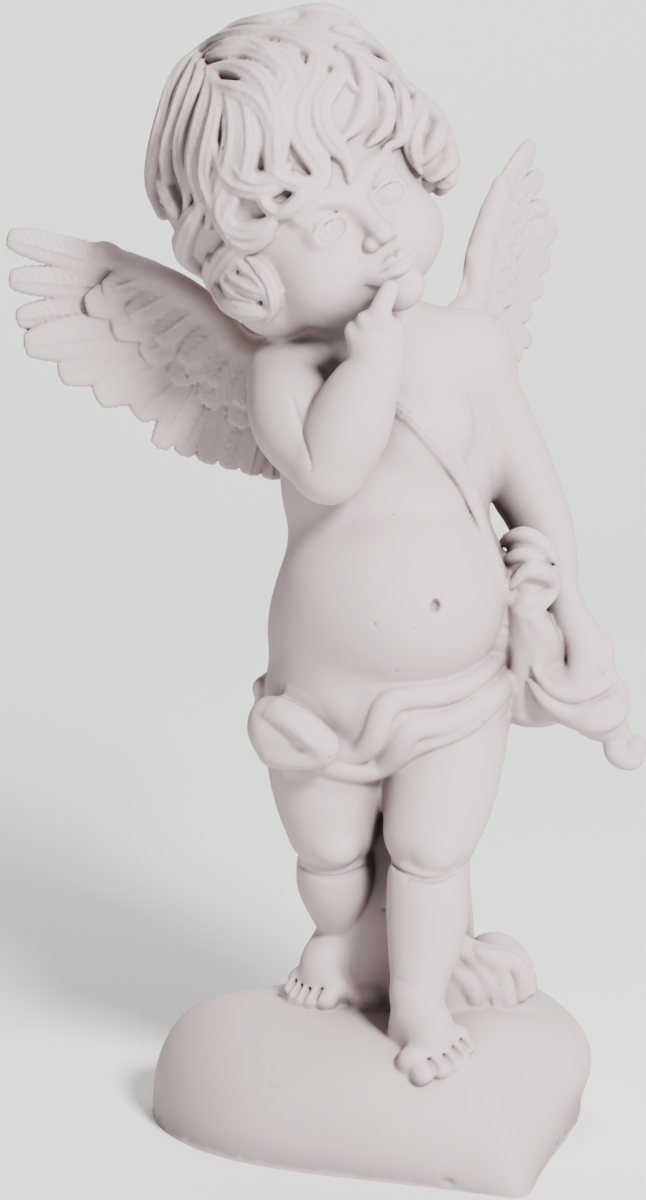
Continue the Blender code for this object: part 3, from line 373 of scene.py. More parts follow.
def smooth_route(points, steps=4):
    """Points along a smooth curve through the given ones, which may carry widths as well."""
    p = np.array(points, float)
    p = np.vstack([2 * p[0] - p[1], p, 2 * p[-1] - p[-2]])
    rows = []
    for i in range(1, len(p) - 2):
        for t in np.linspace(0, 1, steps, endpoint=False):
            rows.append(0.5 * (2 * p[i] + (p[i + 1] - p[i - 1]) * t
                               + (2 * p[i - 1] - 5 * p[i] + 4 * p[i + 1] - p[i + 2]) * t ** 2
                               + (3 * p[i] - p[i - 1] - 3 * p[i + 1] + p[i + 2]) * t ** 3))
    rows.append(p[-2])
    return np.array(rows)


# Finding places on the clay

def seen(clay, x, z, eye=EYE, furthest=0.0):
    """The place on the clay that is met from an eye towards (x, 0, z), and the way it faces."""
    start = FIGURE.out(eye)
    way = FIGURE.out((x, 0, z)) - start
    place, normal = clay.hit(start, way / np.linalg.norm(way), FIGURE.out((0, furthest, 0))[1])
    return FIGURE.back(place), normal


def evened(rows):
    """The rows with each one eased towards its neighbours."""
    rows = np.array(rows, float)
    for _ in range(2):
        rows[1:-1] = (rows[:-2] + 2 * rows[1:-1] + rows[2:]) / 4
    return rows


def laid(clay, route, width, height, rise=0.0, eye=EYE, tips=(1.0, 1.0), furthest=10.0):
    """Stations over the clay along a route of places (x, z), and the way each faces.

    Tips are the shares of its width that the band has at its two ends, and nothing is looked for
    beyond y = furthest.
    """
    found = [seen(clay, x, z, eye, furthest) for x, z in route]
    facing = evened([normal for _, normal in found])
    place = evened([point for point, _ in found]) + rise * facing
    share = np.linspace(0, 1, len(route))
    swell = np.interp(share, FULL_WIDTH_PART, (tips[0], 1, 1, tips[1]))
    return np.column_stack([place, width * swell, height * (0.4 + 0.6 * swell)]), facing


def add_bands(clay, rows, blend, relief=None):
    """Adds bands to the clay that were all laid before the first of them is added."""
    for stations, facing in rows:
        clay.add(band(stations, facing, FIGURE, relief), blend)


def swept(x, z, length, headings):
    """A route of places (x, z) that turns through headings, in degrees, along its length."""
    middle = (np.arange(ROUTE_STEPS) + 0.5) / ROUTE_STEPS
    heading = np.radians(np.interp(middle, np.linspace(0, 1, len(headings)), headings))
    step = length / ROUTE_STEPS
    across = x + step * np.concatenate([[0], np.cumsum(np.cos(heading))])
    up = z + step * np.concatenate([[0], np.cumsum(np.sin(heading))])
    return np.column_stack([across, up])


# The figure

def press(clay, rows, frame=FIGURE):
    """Adds forms in turn, each a limb's stations or an ellipsoid's (centre, radii), and a blend."""
    for form, blend in rows:
        clay.add(limb(form, frame) if isinstance(form, list) else ellipsoid(*form, frame), blend)


def trunk(clay):
    masses = (((9, 8, 176), (63, 52, 42), 1), ((9, 6, 290), (57, 44, 74), 16),
              ((13, -6, 228), (61, 57, 56), 10), ((16, -17, 230), (46, 49, 44), 10))
    for centre, radii, blend in masses:
        clay.add(ellipsoid(centre, radii, FIGURE, BODY_TURN), blend)
    clay.add(limb([(-36, -10, 338, 23), (8, 2, 346, 30), (50, 14, 347, 24)]), 16)
    clay.add(ellipsoid((28, -28, 318), (24, 13, 20), FIGURE, BODY_TURN), 14)
    clay.add(limb([(0, 8, 345, 33), (-8, 4, 372, 30), (-16, 0, 395, 30)]), 12)
    clay.add(ellipsoid((-11, 0, 206), (42, 42, 40)), 12)
    for side in (-1, 1):
        clay.add(ellipsoid((9 + 24 * side, 32 + 8 * side, 168), (28, 26, 30)), 8)


def legs(clay):
    press(clay, (
        ([(-20, 2, 168, 33), (-23, 0, 140, 31), (-22, 0, 120, 28.5), (-19.5, 1, 101, 24.5)], 8),
        ([(-18, 6, 76, 20.5), (-18, 9, 68, 20.3), (-17.5, 13, 57, 16.8), (-16.5, 18, 46, 13),
          (-16, 21, 40, 11.3)], 2.5),
        ([(40, 6, 166, 35), (38.5, -5, 138, 31.5), (36, -13, 119, 28.5), (32, -20, 103, 25)], 8),
        ([(29.5, -25, 78, 20.5), (30, -28, 70, 21.3), (30, -31, 59, 21.3), (28.5, -36, 45, 19),
          (26, -41, 31, 15.5), (24.5, -44, 22, 14.5)], 2.5),
        (((34, -40, 97), (12, 8, 11)), 3), (((-17, -17, 93), (12, 8, 10)), 4)))
    foot(clay, (-18, 21, 27), (-22, -2, 5), (-41, 11, 8))
    foot(clay, (25, -45, 12), (26.5, -68, -13), (50, -55, -3))


def foot(clay, ankle, big_toe, little_toe):
    """A foot from its ankle to its five toes, whose tips lie in a shallow arc."""
    ankle, first, last = (np.array(place, float) for place in (ankle, big_toe, little_toe))
    middle = (first + last) / 2
    way = middle - ankle + (0, 0, 9)
    way /= np.linalg.norm(way)
    level = way * (1, 1, 0)
    instep = ankle + 0.45 * (middle - ankle)
    clay.add(limb([(*ankle, 14), (*(instep + (0, 0, 3)), 12.5),
                   (*(middle - 10 * way + (0, 0, 1)), 10)]), 3)
    clay.add(limb([(*(ankle - 6 * level - (0, 0, 9)), 12), (*(instep - (0, 0, 3)), 12)]), 4)
    clay.add(limb([(*(first - 9 * way), 7.5), (*(last - 7 * way), 6)]), 4)
    clay.add(ellipsoid(middle - 5 * way - (0, 0, 5), (15, 11, 6)), 5)
    # How far each toe is from the first towards the last, as a share, and how thick it is
    toes = ((0, 5.8), (0.31, 4.6), (0.56, 4.3), (0.79, 4.0), (1.0, 3.7))
    tips = [first + share * (last - first) + (4.5 * math.sin(math.pi * share) + 1.5) * way
            for share, _ in toes]
    for tip, (_, thick) in zip(tips, toes):
        root = tip - 11 * way + (0, 0, 1)
        joint = (root + tip) / 2 + (0, 0, 1)
        clay.add(limb([(*root, thick), (*joint, thick - 0.6), (*tip, thick)]), 0.8)
    for (tip, after), (_, thick) in zip(zip(tips[:-1], tips[1:]), toes[1:]):
        between = (tip + after) / 2 + (0, 0, 0.95 * thick)
        clay.cut(limb([(*(between - 9 * way), 0.6), (*(between + 3 * way), 1.4)]), 1.5)


def arms(clay):
    press(clay, (
        ([(-38, -14, 340, 25), (-36, -38, 323, 25), (-22, -57, 306, 21)], 8),
        ([(-21, -58, 304, 21), (-12, -64, 324, 21.5), (-5, -68, 341, 18), (2, -70, 353, 14)], 1.5),
        (((2.4, -70, 366), (15, 12, 17)), 3)))
    for knuckle in ((-8.5, -72, 373), (-3, -76, 378.5), (5, -77, 379.5), (11, -74, 374)):
        clay.add(ball(knuckle, 5.4), 2.5)
    press(clay, (
        ([(1, -76, 378, 5.8), (5, -77, 387, 5.2), (8.5, -73, 394, 4.6)], 1.5),
        ([(48, 14, 345, 24), (62, 20, 318, 20), (75, 24, 293, 18.5), (82, 26, 275, 17.5)], 8),
        ([(83, 26, 272, 17.5), (90, 22, 257, 16.5), (95, 13, 240, 13.5), (97, 5, 228, 11)], 4),
        ([(98, 2, 225, 10.5), (104, -7, 214, 10), (111, -13, 203, 10), (111, -17, 190, 9),
          (107, -17, 181, 8)], 2)))


def head(clay):
    press(clay, (
        (((0, 12, 22), (60, 68, 62)), 8), (((0, -14, -22), (44, 40, 40)), 16),
        (((-23, -23, -28), (24, 27, 24)), 8), (((23, -23, -28), (24, 27, 24)), 8),
        (((0, -44, -53), (13, 12, 10)), 7), (((0, -49, -38), (15, 9, 11)), 6)), HEAD)
    eyes(clay)
    nose(clay)
    mouth(clay)


EYE_PLACE = np.array((18.5, -42.0, -8.0))
EYE_RADIUS = 10.9
IRIS_RADIUS = 4.3
LID = 2.2  # how thick a lid is


def mirrored(half):
    """Stations across the face: those of one side, the last in the middle, and their mirror."""
    return half + [(-x, *rest) for x, *rest in half[-2::-1]]


def eyes(clay):
    """Round eyeballs behind lids that are opened in the shape of an almond."""
    for side in (-1, 1):
        middle = EYE_PLACE * (side, 1, 1)
        clay.cut(ellipsoid((side * 19, -59, -6), (14, 9, 9), HEAD), 7)
        clay.add(ball(middle, EYE_RADIUS + LID, HEAD), 2.5)
        clay.cut(ellipsoid(middle + (side * 0.5, -12, -0.8), (9.4, 8, 5.0), HEAD,
                           turned(0, side * 5, 0)), 0.6)
        clay.add(ball(middle, EYE_RADIUS, HEAD), 0.4)
        clay.add(limb([(side * 7, -53, 3, 3.2), (side * 17, -54, 8, 3.6),
                       (side * 29, -47, 6, 3)], HEAD), 7)


def nose(clay):
    clay.add(limb([(0, -51, 0, 4.6), (0, -55.5, -12, 4.8), (0, -60.5, -22, 5.6)], HEAD), 6)
    for side in (-1, 1):
        clay.add(ball((side * 6.3, -56, -24.5), 4.0, HEAD), 2)


def mouth(clay):
    upper = [(-10.5, -52.8, -38.8, 1.2), (-6, -56.6, -37.4, 2.2), (-2.4, -58.6, -36.3, 2.7),
             (0, -58.6, -37, 2.5)]
    lower = [(-8.5, -54, -41, 1.3), (-4, -57, -42.6, 2.8), (0, -58, -43.2, 3.2)]
    for lip in (upper, lower):
        clay.add(limb(mirrored(lip), HEAD), 1.5)
    clay.cut(limb(mirrored([(-7, -57, -48, 1.8), (0, -59, -48.8, 2)]), HEAD), 4)


# The hair

HAIR_CENTRE = np.array((10.0, 15.0, 28.0))
HAIR_RADII = np.array((63.0, 62.0, 65.0))
WHORL = turned(0, -8, 0) @ turned(4, 0, 0)
CROWN_LOCKS = 506  # front locks that start above this are flatter
FRONT_LOCK_HEIGHT, CROWN_LOCK_HEIGHT = 6.8, 4.8
SIDE_LOCK_HEIGHT = 5.8
LOCK_STEP = 5.0  # millimetres between two stations of a lock
WAVE_LENGTH = 58.0  # of a lock that is laid from the whorl
CURL_RADIUS, CURL_WIDTH, CURL_TURNS = 11.0, 5.0, 1.35
SCALP_RADIUS = 70.0  # turns a length over the head into an angle
NEAR_HEAD_TOP = 0.35  # the least sine that a lock's heading is worked out with

# Locks seen from the front: the x and z of its start, its length, its headings, its half width
FRONT_LOCKS = [
    (-87, 504, 86, (-135, -107, -106, -98, -76), 7),
    (-86, 500, 72, (-118, -106, -111, -86, -106), 6.5),
    (-84, 497, 74, (-101, -108, -101, -72, -108), 6.5),
    (-80, 493, 74, (-88, -107, -102, -72, -107), 6.5),
    (-78, 490, 74, (-67, -106, -104, -70, -114), 6.5), (-72, 483, 60, (-65, -94, -117, -69), 7),
    (-64, 480, 50, (-65, -102, -117), 6.5), (-79, 487, 50, (-18, -15, -70, -104), 6.5),
    (-80, 494, 88, (18, -21, -69, -94, -90, -119), 7.5), (-82, 501, 48, (31, 4, -38, -96), 6.5),
    (-45, 510, 72, (-42, -107, -120, -86, -62), 7), (-86, 505, 84, (24, 8, -13, -30, -63), 7),
    (-86, 509, 92, (30, 10, 14, 5, -110), 8), (-18, 515, 56, (-8, -35, -45, -66), 7),
    (-16, 506, 66, (-33, -27, -35, -67), 7),
    (-33, 511, 97, (-35, -101, -130, -75, -45, -108, -159), 7.5),
    (-17, 500, 66, (-77, -141, -72, -45, -90), 6.5), (-9, 499, 40, (-54, -100, -142), 6.5),
    (-2, 492, 38, (-42, -90, -139), 5.8), (9, 489, 38, (-51, -90, -144), 5.8),
    (20, 485, 40, (-62, -108, -58), 6), (28, 485, 38, (-54, -95, -135), 6),
    (36, 470, 32, (-59, -99, -153), 5.5), (39, 455, 20, (-90, -120), 4.8),
    (-104, 443, 24, (-76, -55), 6), (-71, 437, 52, (-138, -81, -25, 25, 95), 7.5),
    (-83, 429, 46, (-138, -99, -36), 7), (-68, 431, 40, (-135, -80, -15, 40), 6.5),
    (-59, 412, 58, (-166, -121, -55, 11), 7), (-63, 407, 36, (-150, -85, -10), 6),
    (-81, 400, 48, (-94, -39, 19), 6.8), (-60, 402, 36, (-40, -70, -125), 5.2),
    (-77, 457, 46, (-82, -50, -10, 30), 6.5), (-69, 452, 34, (-72, -34, 12, 60), 5.5),
    (-80, 500, 50, (20, -5, -35, -75), 6.5), (-58, 507, 44, (-10, -35, -75, -100), 6.5),
    (-52, 452, 34, (-75, -40, -10, 30), 5.5), (-70, 398, 30, (-80, -30, 10), 5.5),
    (-66, 403, 30, (-60, -45, -100), 5), (-55, 442, 50, (-105, -61, 6, 69, 146), 4.6),
]


def scalp(polar, heading, lift):
    """A point over the head and its normal. Polar is from the whorl and heading from the face."""
    out = math.sin(polar)
    way = WHORL @ np.array((out * math.sin(heading), -out * math.cos(heading), math.cos(polar)))
    point = HAIR_CENTRE + HAIR_RADII * way
    normal = way / HAIR_RADII
    normal /= np.linalg.norm(normal)
    return point + lift * normal, normal


def lock(clay, heading, start, length, width, wave, phase, curled, lift):
    """A lock of hair that flows down from the whorl in waves and ends in a curl.

    Heading, start and curled are in degrees, and wave and phase are in radians.
    """
    steps = max(10, int(length / LOCK_STEP))
    step = length / steps
    polar, turn = math.radians(start), math.radians(heading)
    stations, facing = [], []
    for i in range(steps + 1):
        t = i / steps
        rise = lift + 2.5 * math.sin(math.pi * min(1, t * 1.15)) - 2.0 * (1 - t) ** 3
        point, normal = scalp(polar, turn, rise)
        swell = 0.55 + 0.45 * math.sin(math.pi * min(1, 0.15 + t))
        taper = 1 - 0.45 * max(0, t - 0.7) / 0.3
        height = SIDE_LOCK_HEIGHT * (0.7 + 0.3 * swell)
        stations.append((*point, width * swell * taper, height * taper))
        facing.append(normal)
        bend = wave * math.cos(2 * math.pi * i * step / WAVE_LENGTH + phase)
        bend += math.radians(curled) * max(0, (t - 0.55) / 0.45) ** 1.6
        polar += step / SCALP_RADIUS * math.cos(bend)
        turn += step / SCALP_RADIUS * math.sin(bend) / max(NEAR_HEAD_TOP, math.sin(polar))
    clay.add(band(stations, np.array(facing), HEAD, strands(LOCK_STRANDS, 1.0)), 1.2)


def curl(clay, polar, heading, hand):
    """A snail of hair that stands out from the head, at angles in degrees. Hand is how it winds."""
    middle, normal = scalp(math.radians(polar), math.radians(heading), 0)
    side = np.cross(normal, (0, 0, 1))
    side /= np.linalg.norm(side)
    up = np.cross(side, normal)
    stations = []
    for i in range(19):
        t = i / 18
        angle = hand * 2 * math.pi * CURL_TURNS * t + 0.8
        reach = CURL_RADIUS * (1 - 0.8 * t)
        way = math.cos(angle) * side + math.sin(angle) * up
        place = middle + reach * way + (CURL_WIDTH * t - 1) * normal
        stations.append((*place, CURL_WIDTH, CURL_WIDTH))
    clay.add(band(stations, normal, HEAD, strands(2, 1.0)), 1.2)


def hair(clay):
    """A cap of hair with locks from the whorl, curls round the rim and ringlets at the cheek."""
    press(clay, (
        ((HAIR_CENTRE, HAIR_RADII), 3), (((6, -8, 46), (56, 56, 41)), 3),
        (((40, -4, 62), (28, 28, 26)), 8), (((-42, 4, -22), (20, 26, 24)), 6),
        (((56, -12, 8), (16, 25, 31)), 6)), HEAD)
    for i in range(26):
        length = 132 + 10 * math.sin(2.3 * i)
        lock(clay, 84 + 200 * i / 25, 40, length, 9.5, 0.45, 1.9 * i, 80 * (-1) ** i, -0.5)
    for i in range(24):
        length = 74 + 8 * math.sin(2.9 * i)
        lock(clay, -76 + 352 * i / 23, 10, length, 10, 0.5, 2.4 * i + 1, 60 * (-1) ** i, -0.8)
    rows = []
    for *route, width in FRONT_LOCKS:
        height = FRONT_LOCK_HEIGHT if route[1] < CROWN_LOCKS else CROWN_LOCK_HEIGHT
        rows.append(laid(clay, swept(*route), width, height, 1.0, tips=(0.5, 0.35), furthest=30))
    for i in range(7):
        curl(clay, 122 + 5 * (i % 2), 118 + 21 * i, (-1) ** i)
    add_bands(clay, rows, 1.0, strands(LOCK_STRANDS, 1.0))


# The wings

SHAFT_SHARE = 0.16  # of a feather's half width
BARB_SLANT, BARB_PITCH = 9.0, 4.2


def barbs(depth):
    """A shaft along the middle of a feather, and barbs that slant away from it."""
    def relief(along, across):
        shaft = np.clip(1 - np.abs(across) / SHAFT_SHARE, 0, 1)
        slant = (along - BARB_SLANT * np.abs(across)) / BARB_PITCH
        return depth * (0.5 - 0.5 * np.cos(2 * math.pi * slant)) * (1 - shaft) - 1.3 * depth * shaft
    return relief


def feather(clay, wing, base, angle, length, width, thick, layer, relief):
    """A rounded feather. base is (out, up) on the wing, and layer is how far forward it stands."""
    out, up = math.cos(math.radians(angle)), math.sin(math.radians(angle))
    stations = []
    for t in (0, 0.2, 0.4, 0.6, 0.75, 0.85, 0.92, 0.97, 1.0):
        reach = t * (length - 1.6 * thick)
        left = (length - reach) / (1.5 * width)
        swell = width * (0.8 + 0.2 * math.sin(math.pi * t)) * math.sqrt(1 - max(0, 1 - left) ** 2)
        place = (base[0] + out * reach, layer, base[1] + up * reach)
        stations.append((*place, max(swell, thick), thick))
    clay.add(band(stations, (0, 1, 0), wing, relief, 3.0), 0.7)


def wing_form(clay, wing, relief):
    """A wing laid out flat: its plate, its rows of feathers from the tip inwards and its arm."""
    plate = [(-6, -2, -36, 26, 4), (22, -2, -24, 28, 4), (52, -2, -4, 24, 4), (82, -2, 16, 16, 4)]
    clay.add(band(smooth_route(plate), (0, 1, 0), wing), 3)
    for i in range(3):
        feather(clay, wing, (74, 35 - 7 * i), 15 - 11 * i, 80 - 3 * i, 9.5, 3.4, -1.2 * i, relief)
    for i in range(4):
        feather(clay, wing, (60 - 7 * i, 10 - 4 * i), -8 - 10.5 * i, 84 - 8 * i, 13, 3.4,
                1.5 - 1.4 * (i % 2), relief)
    for i in range(8):
        feather(clay, wing, (44 - 7.5 * i, -12 - 4 * i), -58 - 5 * i, 54 - 2 * i, 9, 3.4,
                0.5 - 1.6 * (i % 2), relief)
    for i in range(7):
        feather(clay, wing, (80 - 13 * i, 26 - 9 * i), -12 - 9 * i, 31, 11.5, 2.8,
                4.6 + 0.8 * (i % 2), relief)
    for i in range(8):
        feather(clay, wing, (78 - 12 * i, 35 - 9.5 * i), -18 - 9 * i, 24, 9, 2.6,
                7 + 0.7 * (i % 2), relief)
    arm = [(-16, -4, -10, 14), (8, 0, -8, 11), (28, 2, -3, 9), (43, 2, 14, 9), (60, 3, 28, 8.5),
           (84, 2, 39, 7.5), (100, 0, 45, 5.5)]
    clay.add(limb(arm, wing), 2.5)
    for i in range(5):
        centre = (96 - 13 * i, 1, 47 - 6.5 * i)
        clay.add(ellipsoid(centre, (9, 5, 5.5), wing, turned(0, -28, 0)), 1.2)


def wings(clay):
    far = Frame(FAR_WING.origin, FAR_WING.turn, FAR_WING.scale * FAR_WING_SHARE)
    for wing in (NEAR_WING, far):
        wing_form(clay, wing, barbs(BARB_DEPTH))


# The cloth

def over(clay, route, width, height, rise, blend, eye=EYE, relief=None, tips=(1.0, 1.0)):
    """Lays a fold over the clay along places (x, z)."""
    row = laid(clay, smooth_route(route, 3), width, height, rise, eye, tips, 0.0)
    add_bands(clay, [row], blend, relief)


# The folds across the front, as places (x, z)
KNOT_END = (77, 227)
UPPER_ROLL = [(74, 209), (67, 194), (56, 182), (45, 175), (33, 172), (21, 171), (12, 169), (6, 162),
              (3, 151), (-3, 143), (-12, 141), (-21, 144), (-28, 150), (-35, 160), (-43, 164)]
LOWER_ROLL = [(77, 200), (72, 183), (61, 170), (50, 162), (37, 156), (25, 156), (18, 151),
              (14, 142), (7, 135), (-3, 132), (-15, 133), (-25, 137), (-34, 142), (-45, 143)]
HEM = [(75, 190), (72, 178), (64, 168), (53, 156), (40, 149), (28, 146), (21, 142), (14, 135)]
STRAP = [(-44, 348), (-28, 344), (-10, 336), (7, 328), (22, 318), (34, 304), (45, 291), (54, 271),
         (62, 248), (70, 230), (77, 215)]


def hip_cloth(clay):
    """Three rolls from the knot across the front of the hips, and plainer ones round the back."""
    rolls = ((LOWER_ROLL, 15, 3.5, 0), (UPPER_ROLL, 11, 3.5, -1), (UPPER_ROLL, 7.0, 6, 2),
             (LOWER_ROLL, 7.5, 6.5, 2), (HEM, 5.0, 5.5, 1))
    rows = [laid(clay, smooth_route([KNOT_END, *route], 3), width, height, rise, tips=(0.6, 1.0))
            for route, width, height, rise in rolls]
    add_bands(clay, rows[:2], 3)
    add_bands(clay, rows[2:], 1.5)
    clay.add(ellipsoid((-50, -34, 161), (13.5, 14, 17), FIGURE, turned(0, -8, 0)), 3)
    clay.add(ellipsoid((-45, -36, 149), (13, 11, 7), FIGURE, turned(0, 12, 0)), 3)
    clay.add(limb([(-46, -41, 171, 8), (-36, -46, 166, 9), (-24, -49, 156, 8.5)]), 3)
    clay.add(limb([(-50, -37, 148, 7), (-38, -44, 148, 6.5), (-24, -48, 150, 6)]), 3)
    clay.add(ellipsoid((-42, -41, 159), (13, 9.5, 10), FIGURE, turned(0, 15, 0)), 3)
    over(clay, [(-54, 160), (-46, 158), (-38, 152), (-31, 145)], 4.0, 2.6, 0, 2.5, tips=(0.5, 0.6))
    backs = []
    for k in range(3):
        route = [(-58 + 13 * i, 152 + 10 * k + (40 - 6 * k) * (i / 10) ** 2) for i in range(11)]
        backs.append(laid(clay, smooth_route(route, 2), 6.5, 5, 1.5, BACK_EYE, furthest=-10))
    add_bands(clay, backs, 2)


def strap(clay):
    over(clay, STRAP, 5.2, 2.6, 1.0, 1.0, relief=strands(4, 0.9, 0.0))
    back = [(-34, 352), (-20, 334), (0, 312), (26, 284), (50, 256), (66, 232)]
    over(clay, back, 4.6, 2.6, 0.6, 1.5, BACK_EYE)


def knot(clay):
    """The knot at the hip, the loops above it and the cloth that hangs below it."""
    clay.add(ellipsoid((81, -13, 240), (11.5, 15, 21)), 4)
    over(clay, [(72, 252), (80, 255), (88, 250), (93, 241), (94, 232)], 5, 5, 1.5, 1.5,
         relief=strands(2, 0.8), tips=(0.7, 0.6))
    over(clay, [(73, 243), (80, 246), (86, 243), (89, 238)], 4, 4, 1.0, 1.5, tips=(0.7, 0.6))
    over(clay, [(75, 231), (82, 238), (90, 237), (94, 231), (90, 223), (82, 215)], 4.5, 5, 1.5, 1.2,
         tips=(0.6, 0.6))
    hanging = [(80, -20, 222, 8, 9), (84, -10, 206, 13, 10), (87, -2, 184, 18, 10),
               (89, 2, 162, 19, 9)]
    clay.add(band(smooth_route(hanging), (0, -1, 0)), 2.5)
    for route in ([(76, 216), (78, 200), (79, 182), (79, 160)],
                  [(80, 214), (86, 200), (90, 182), (91, 158)],
                  [(84, 214), (94, 202), (101, 186), (104, 160)]):
        over(clay, route, 5.5, 3.2, 0, 3, tips=(0.6, 1))


def hand_cloth(clay):
    """The gathered end of the cloth, held in the figure's left hand."""
    clay.add(ellipsoid((108, -13, 173), (24, 11, 16), FIGURE, turned(0, 18, 0)), 3)
    clay.add(limb([(118, -14, 163, 13), (127, -12, 155, 8), (131, -11, 151, 6)]), 3)
    routes = ([(120, 204), (128, 196), (128, 184), (119, 175), (107, 171), (95, 174), (87, 184)],
              [(130, 190), (133, 177), (128, 167), (117, 162), (104, 161), (92, 168), (85, 178)],
              [(132, 172), (131, 162), (124, 156), (112, 155), (101, 158)])
    add_bands(clay, [laid(clay, smooth_route(route, 4), 4.8, 4.6, 0.4, tips=(0.5, 0.5))
                     for route in routes], 1.8)
    clay.add(limb([(127, -13, 150, 6), (129, -15, 143, 6.5), (136, -15, 140, 6),
                   (139, -13, 147, 5)]), 1.2)
    clay.add(ball((137, -15, 145.5), 5.6), 0.8)


def support(clay):
    """The cloth behind the legs that carries the figure, and its heap on the base."""
    press(clay, (
        ([(2, 22, 150, 22), (0, 24, 90, 17), (-1, 22, 45, 15), (-1, 14, 8, 13)], 5),
        ([(34, 20, 150, 26), (34, 18, 108, 22), (33, 14, 66, 20), (33, 12, 30, 19),
          (36, 12, 4, 22)], 5),
        ([(18, 30, 150, 30), (17, 32, 60, 26), (18, 30, 0, 30)], 7)))
    for i in range(5):
        lean, inward = 3 * math.sin(2.1 * i), 3 * abs(i - 2)
        clay.add(limb([(-16 + 15 * i, 50 - inward, 150, 7),
                       (-12 + 14 * i + lean, 53 - inward, 80, 7),
                       (-18 + 17 * i, 52 - inward, 6, 9)]), 4)
    press(clay, (
        (((67, 22, 8), (22, 17, 27)), 4), (((54, 9, 8), (14, 13, 22)), 3),
        (((77, 13, 6), (13, 12, 22)), 4), (((-1, 4, 4), (10.5, 9, 9)), 2.5)))
    routes = ([(54, 38), (66, 38), (78, 35), (88, 26), (88, 8)],
              [(62, 29), (73, 28), (81, 20), (81, 5)], [(45, 34), (56, 27), (66, 15), (69, 2)],
              [(43, 22), (51, 15), (57, 3)], [(58, 33), (66, 25), (72, 14), (75, 2)])
    for route, width in zip(routes, (5.5, 4.5, 5.0, 4.5, 5.5)):
        over(clay, route, width, 2.6, 0.4, 2.0, tips=(0.5, 0.7))


# The base

HEART_MIDDLE = np.array((25.0, -5.0))
OUTLINE_POINTS = 240
CURVE_LENGTH, CURVE_LOW = 28.9, 17  # the heart curve's own length, and how far it dips below zero
FLANK_REACH = 120.0  # the flanks are hollow within this distance of the point
# Each lobe's swell, as shares of the base's sizes: how far across and along it is, and its radii
LOBES = [(-0.13, 0.247, 0.263, 0.214, 0.50), (0.20, 0.024, 0.233, 0.239, 0.47)]


def on_base(v, u):
    """The x and y of a place that is v across and u along the turned heart, from its middle."""
    a = math.radians(BASE_TURN)
    return (HEART_MIDDLE[0] + v * math.cos(a) - u * math.sin(a),
            HEART_MIDDLE[1] + v * math.sin(a) + u * math.cos(a))


def heart_outline():
    """The base's outline from above: the well known curve for a heart, from its point and back."""
    t = np.linspace(math.pi, -math.pi, OUTLINE_POINTS, endpoint=False)
    to_point = np.clip(2 * np.abs(t) / math.pi - 0.5, 0, 1)
    hollow = 1.63 + 0.71 * to_point ** 2 * (3 - 2 * to_point)
    across = np.sign(np.sin(t)) * np.abs(np.sin(t)) ** hollow
    along = 13 * np.cos(t) - 5 * np.cos(2 * t) - 2 * np.cos(3 * t) - np.cos(4 * t) + CURVE_LOW
    u = BASE_LENGTH / CURVE_LENGTH * along - BASE_LENGTH / 2
    return np.stack(on_base(BASE_WIDTH / 2 * across, u), 1)


def polygon_distance(outline, x, y):
    """Signed distance from points of a plane to a closed outline, below zero inside it."""
    best = np.full(np.broadcast(x, y).shape, FAR ** 2)
    inside = np.zeros(best.shape, bool)
    for a, b in zip(outline, np.roll(outline, -1, 0)):
        run = b - a
        along = np.clip(((x - a[0]) * run[0] + (y - a[1]) * run[1]) / (run @ run), 0, 1)
        best = np.minimum(best, (x - a[0] - along * run[0]) ** 2 + (y - a[1] - along * run[1]) ** 2)
        straddles = (a[1] > y) != (b[1] > y)
        if abs(run[1]) > 1e-9:
            inside ^= straddles & (x < a[0] + (y - a[1]) * run[0] / run[1])
    return np.where(inside, -1, 1) * np.sqrt(best)


def heart_base(clay):
    """A cushion in the shape of a heart: full at its lobes, and hollow-flanked at its point."""
    outline = heart_outline()
    low = np.array([*outline.min(0), -BELOW_FLOOR])
    high = np.array([*outline.max(0), BASE_HEIGHT])
    a = math.radians(BASE_TURN)
    point = HEART_MIDDLE + BASE_LENGTH / 2 * np.array((math.sin(a), -math.cos(a)))

    def distance(x, y, z):
        edge = polygon_distance(outline, x[:, :, 0], y[:, :, 0])
        for _ in range(round(2 * (RIDGE_SOFTNESS / clay.cell) ** 2)):
            edge[1:-1, 1:-1] = (edge[:-2, 1:-1] + edge[2:, 1:-1]
                                + edge[1:-1, :-2] + edge[1:-1, 2:]) / 4
        from_point = np.hypot(x - point[0], y - point[1])[:, :, :1]
        fullness = np.clip(from_point / FLANK_REACH, 0, 1)
        fullness = fullness ** 2 * (3 - 2 * fullness)
        inward = np.clip(1 + edge[:, :, None] / BASE_ROUNDING, 0, None)
        up = np.clip(z / BASE_HEIGHT, 0, None)
        power = 1.25 + 1.2 * fullness
        pillow = ((inward ** power + up ** power) ** (1 / power) - 1) * 50
        return np.maximum(pillow, -BELOW_FLOOR - z).astype(np.float32)

    clay.add((low, high, distance), 5)
    for across, along, wide, deep, tall in LOBES:
        middle = (*on_base(across * BASE_WIDTH, along * BASE_LENGTH), BASE_HEIGHT / 2)
        radii = (wide * BASE_WIDTH, deep * BASE_LENGTH, tall * BASE_HEIGHT)
        clay.add(ellipsoid(middle, radii, FLOOR), 14)


def room():
    """The box that holds the figure and its base, with a margin: its lowest and highest corner."""
    heart = heart_outline()
    low, high = FIGURE.out(FIGURE_LOW), FIGURE.out(FIGURE_HIGH)
    low[:2] = np.minimum(low[:2], heart.min(0) - ROOM_MARGIN)
    high[:2] = np.maximum(high[:2], heart.max(0) + ROOM_MARGIN)
    low[2] = -BELOW_FLOOR - ROOM_BELOW
    return low, high


# Finer relief, on the same forms

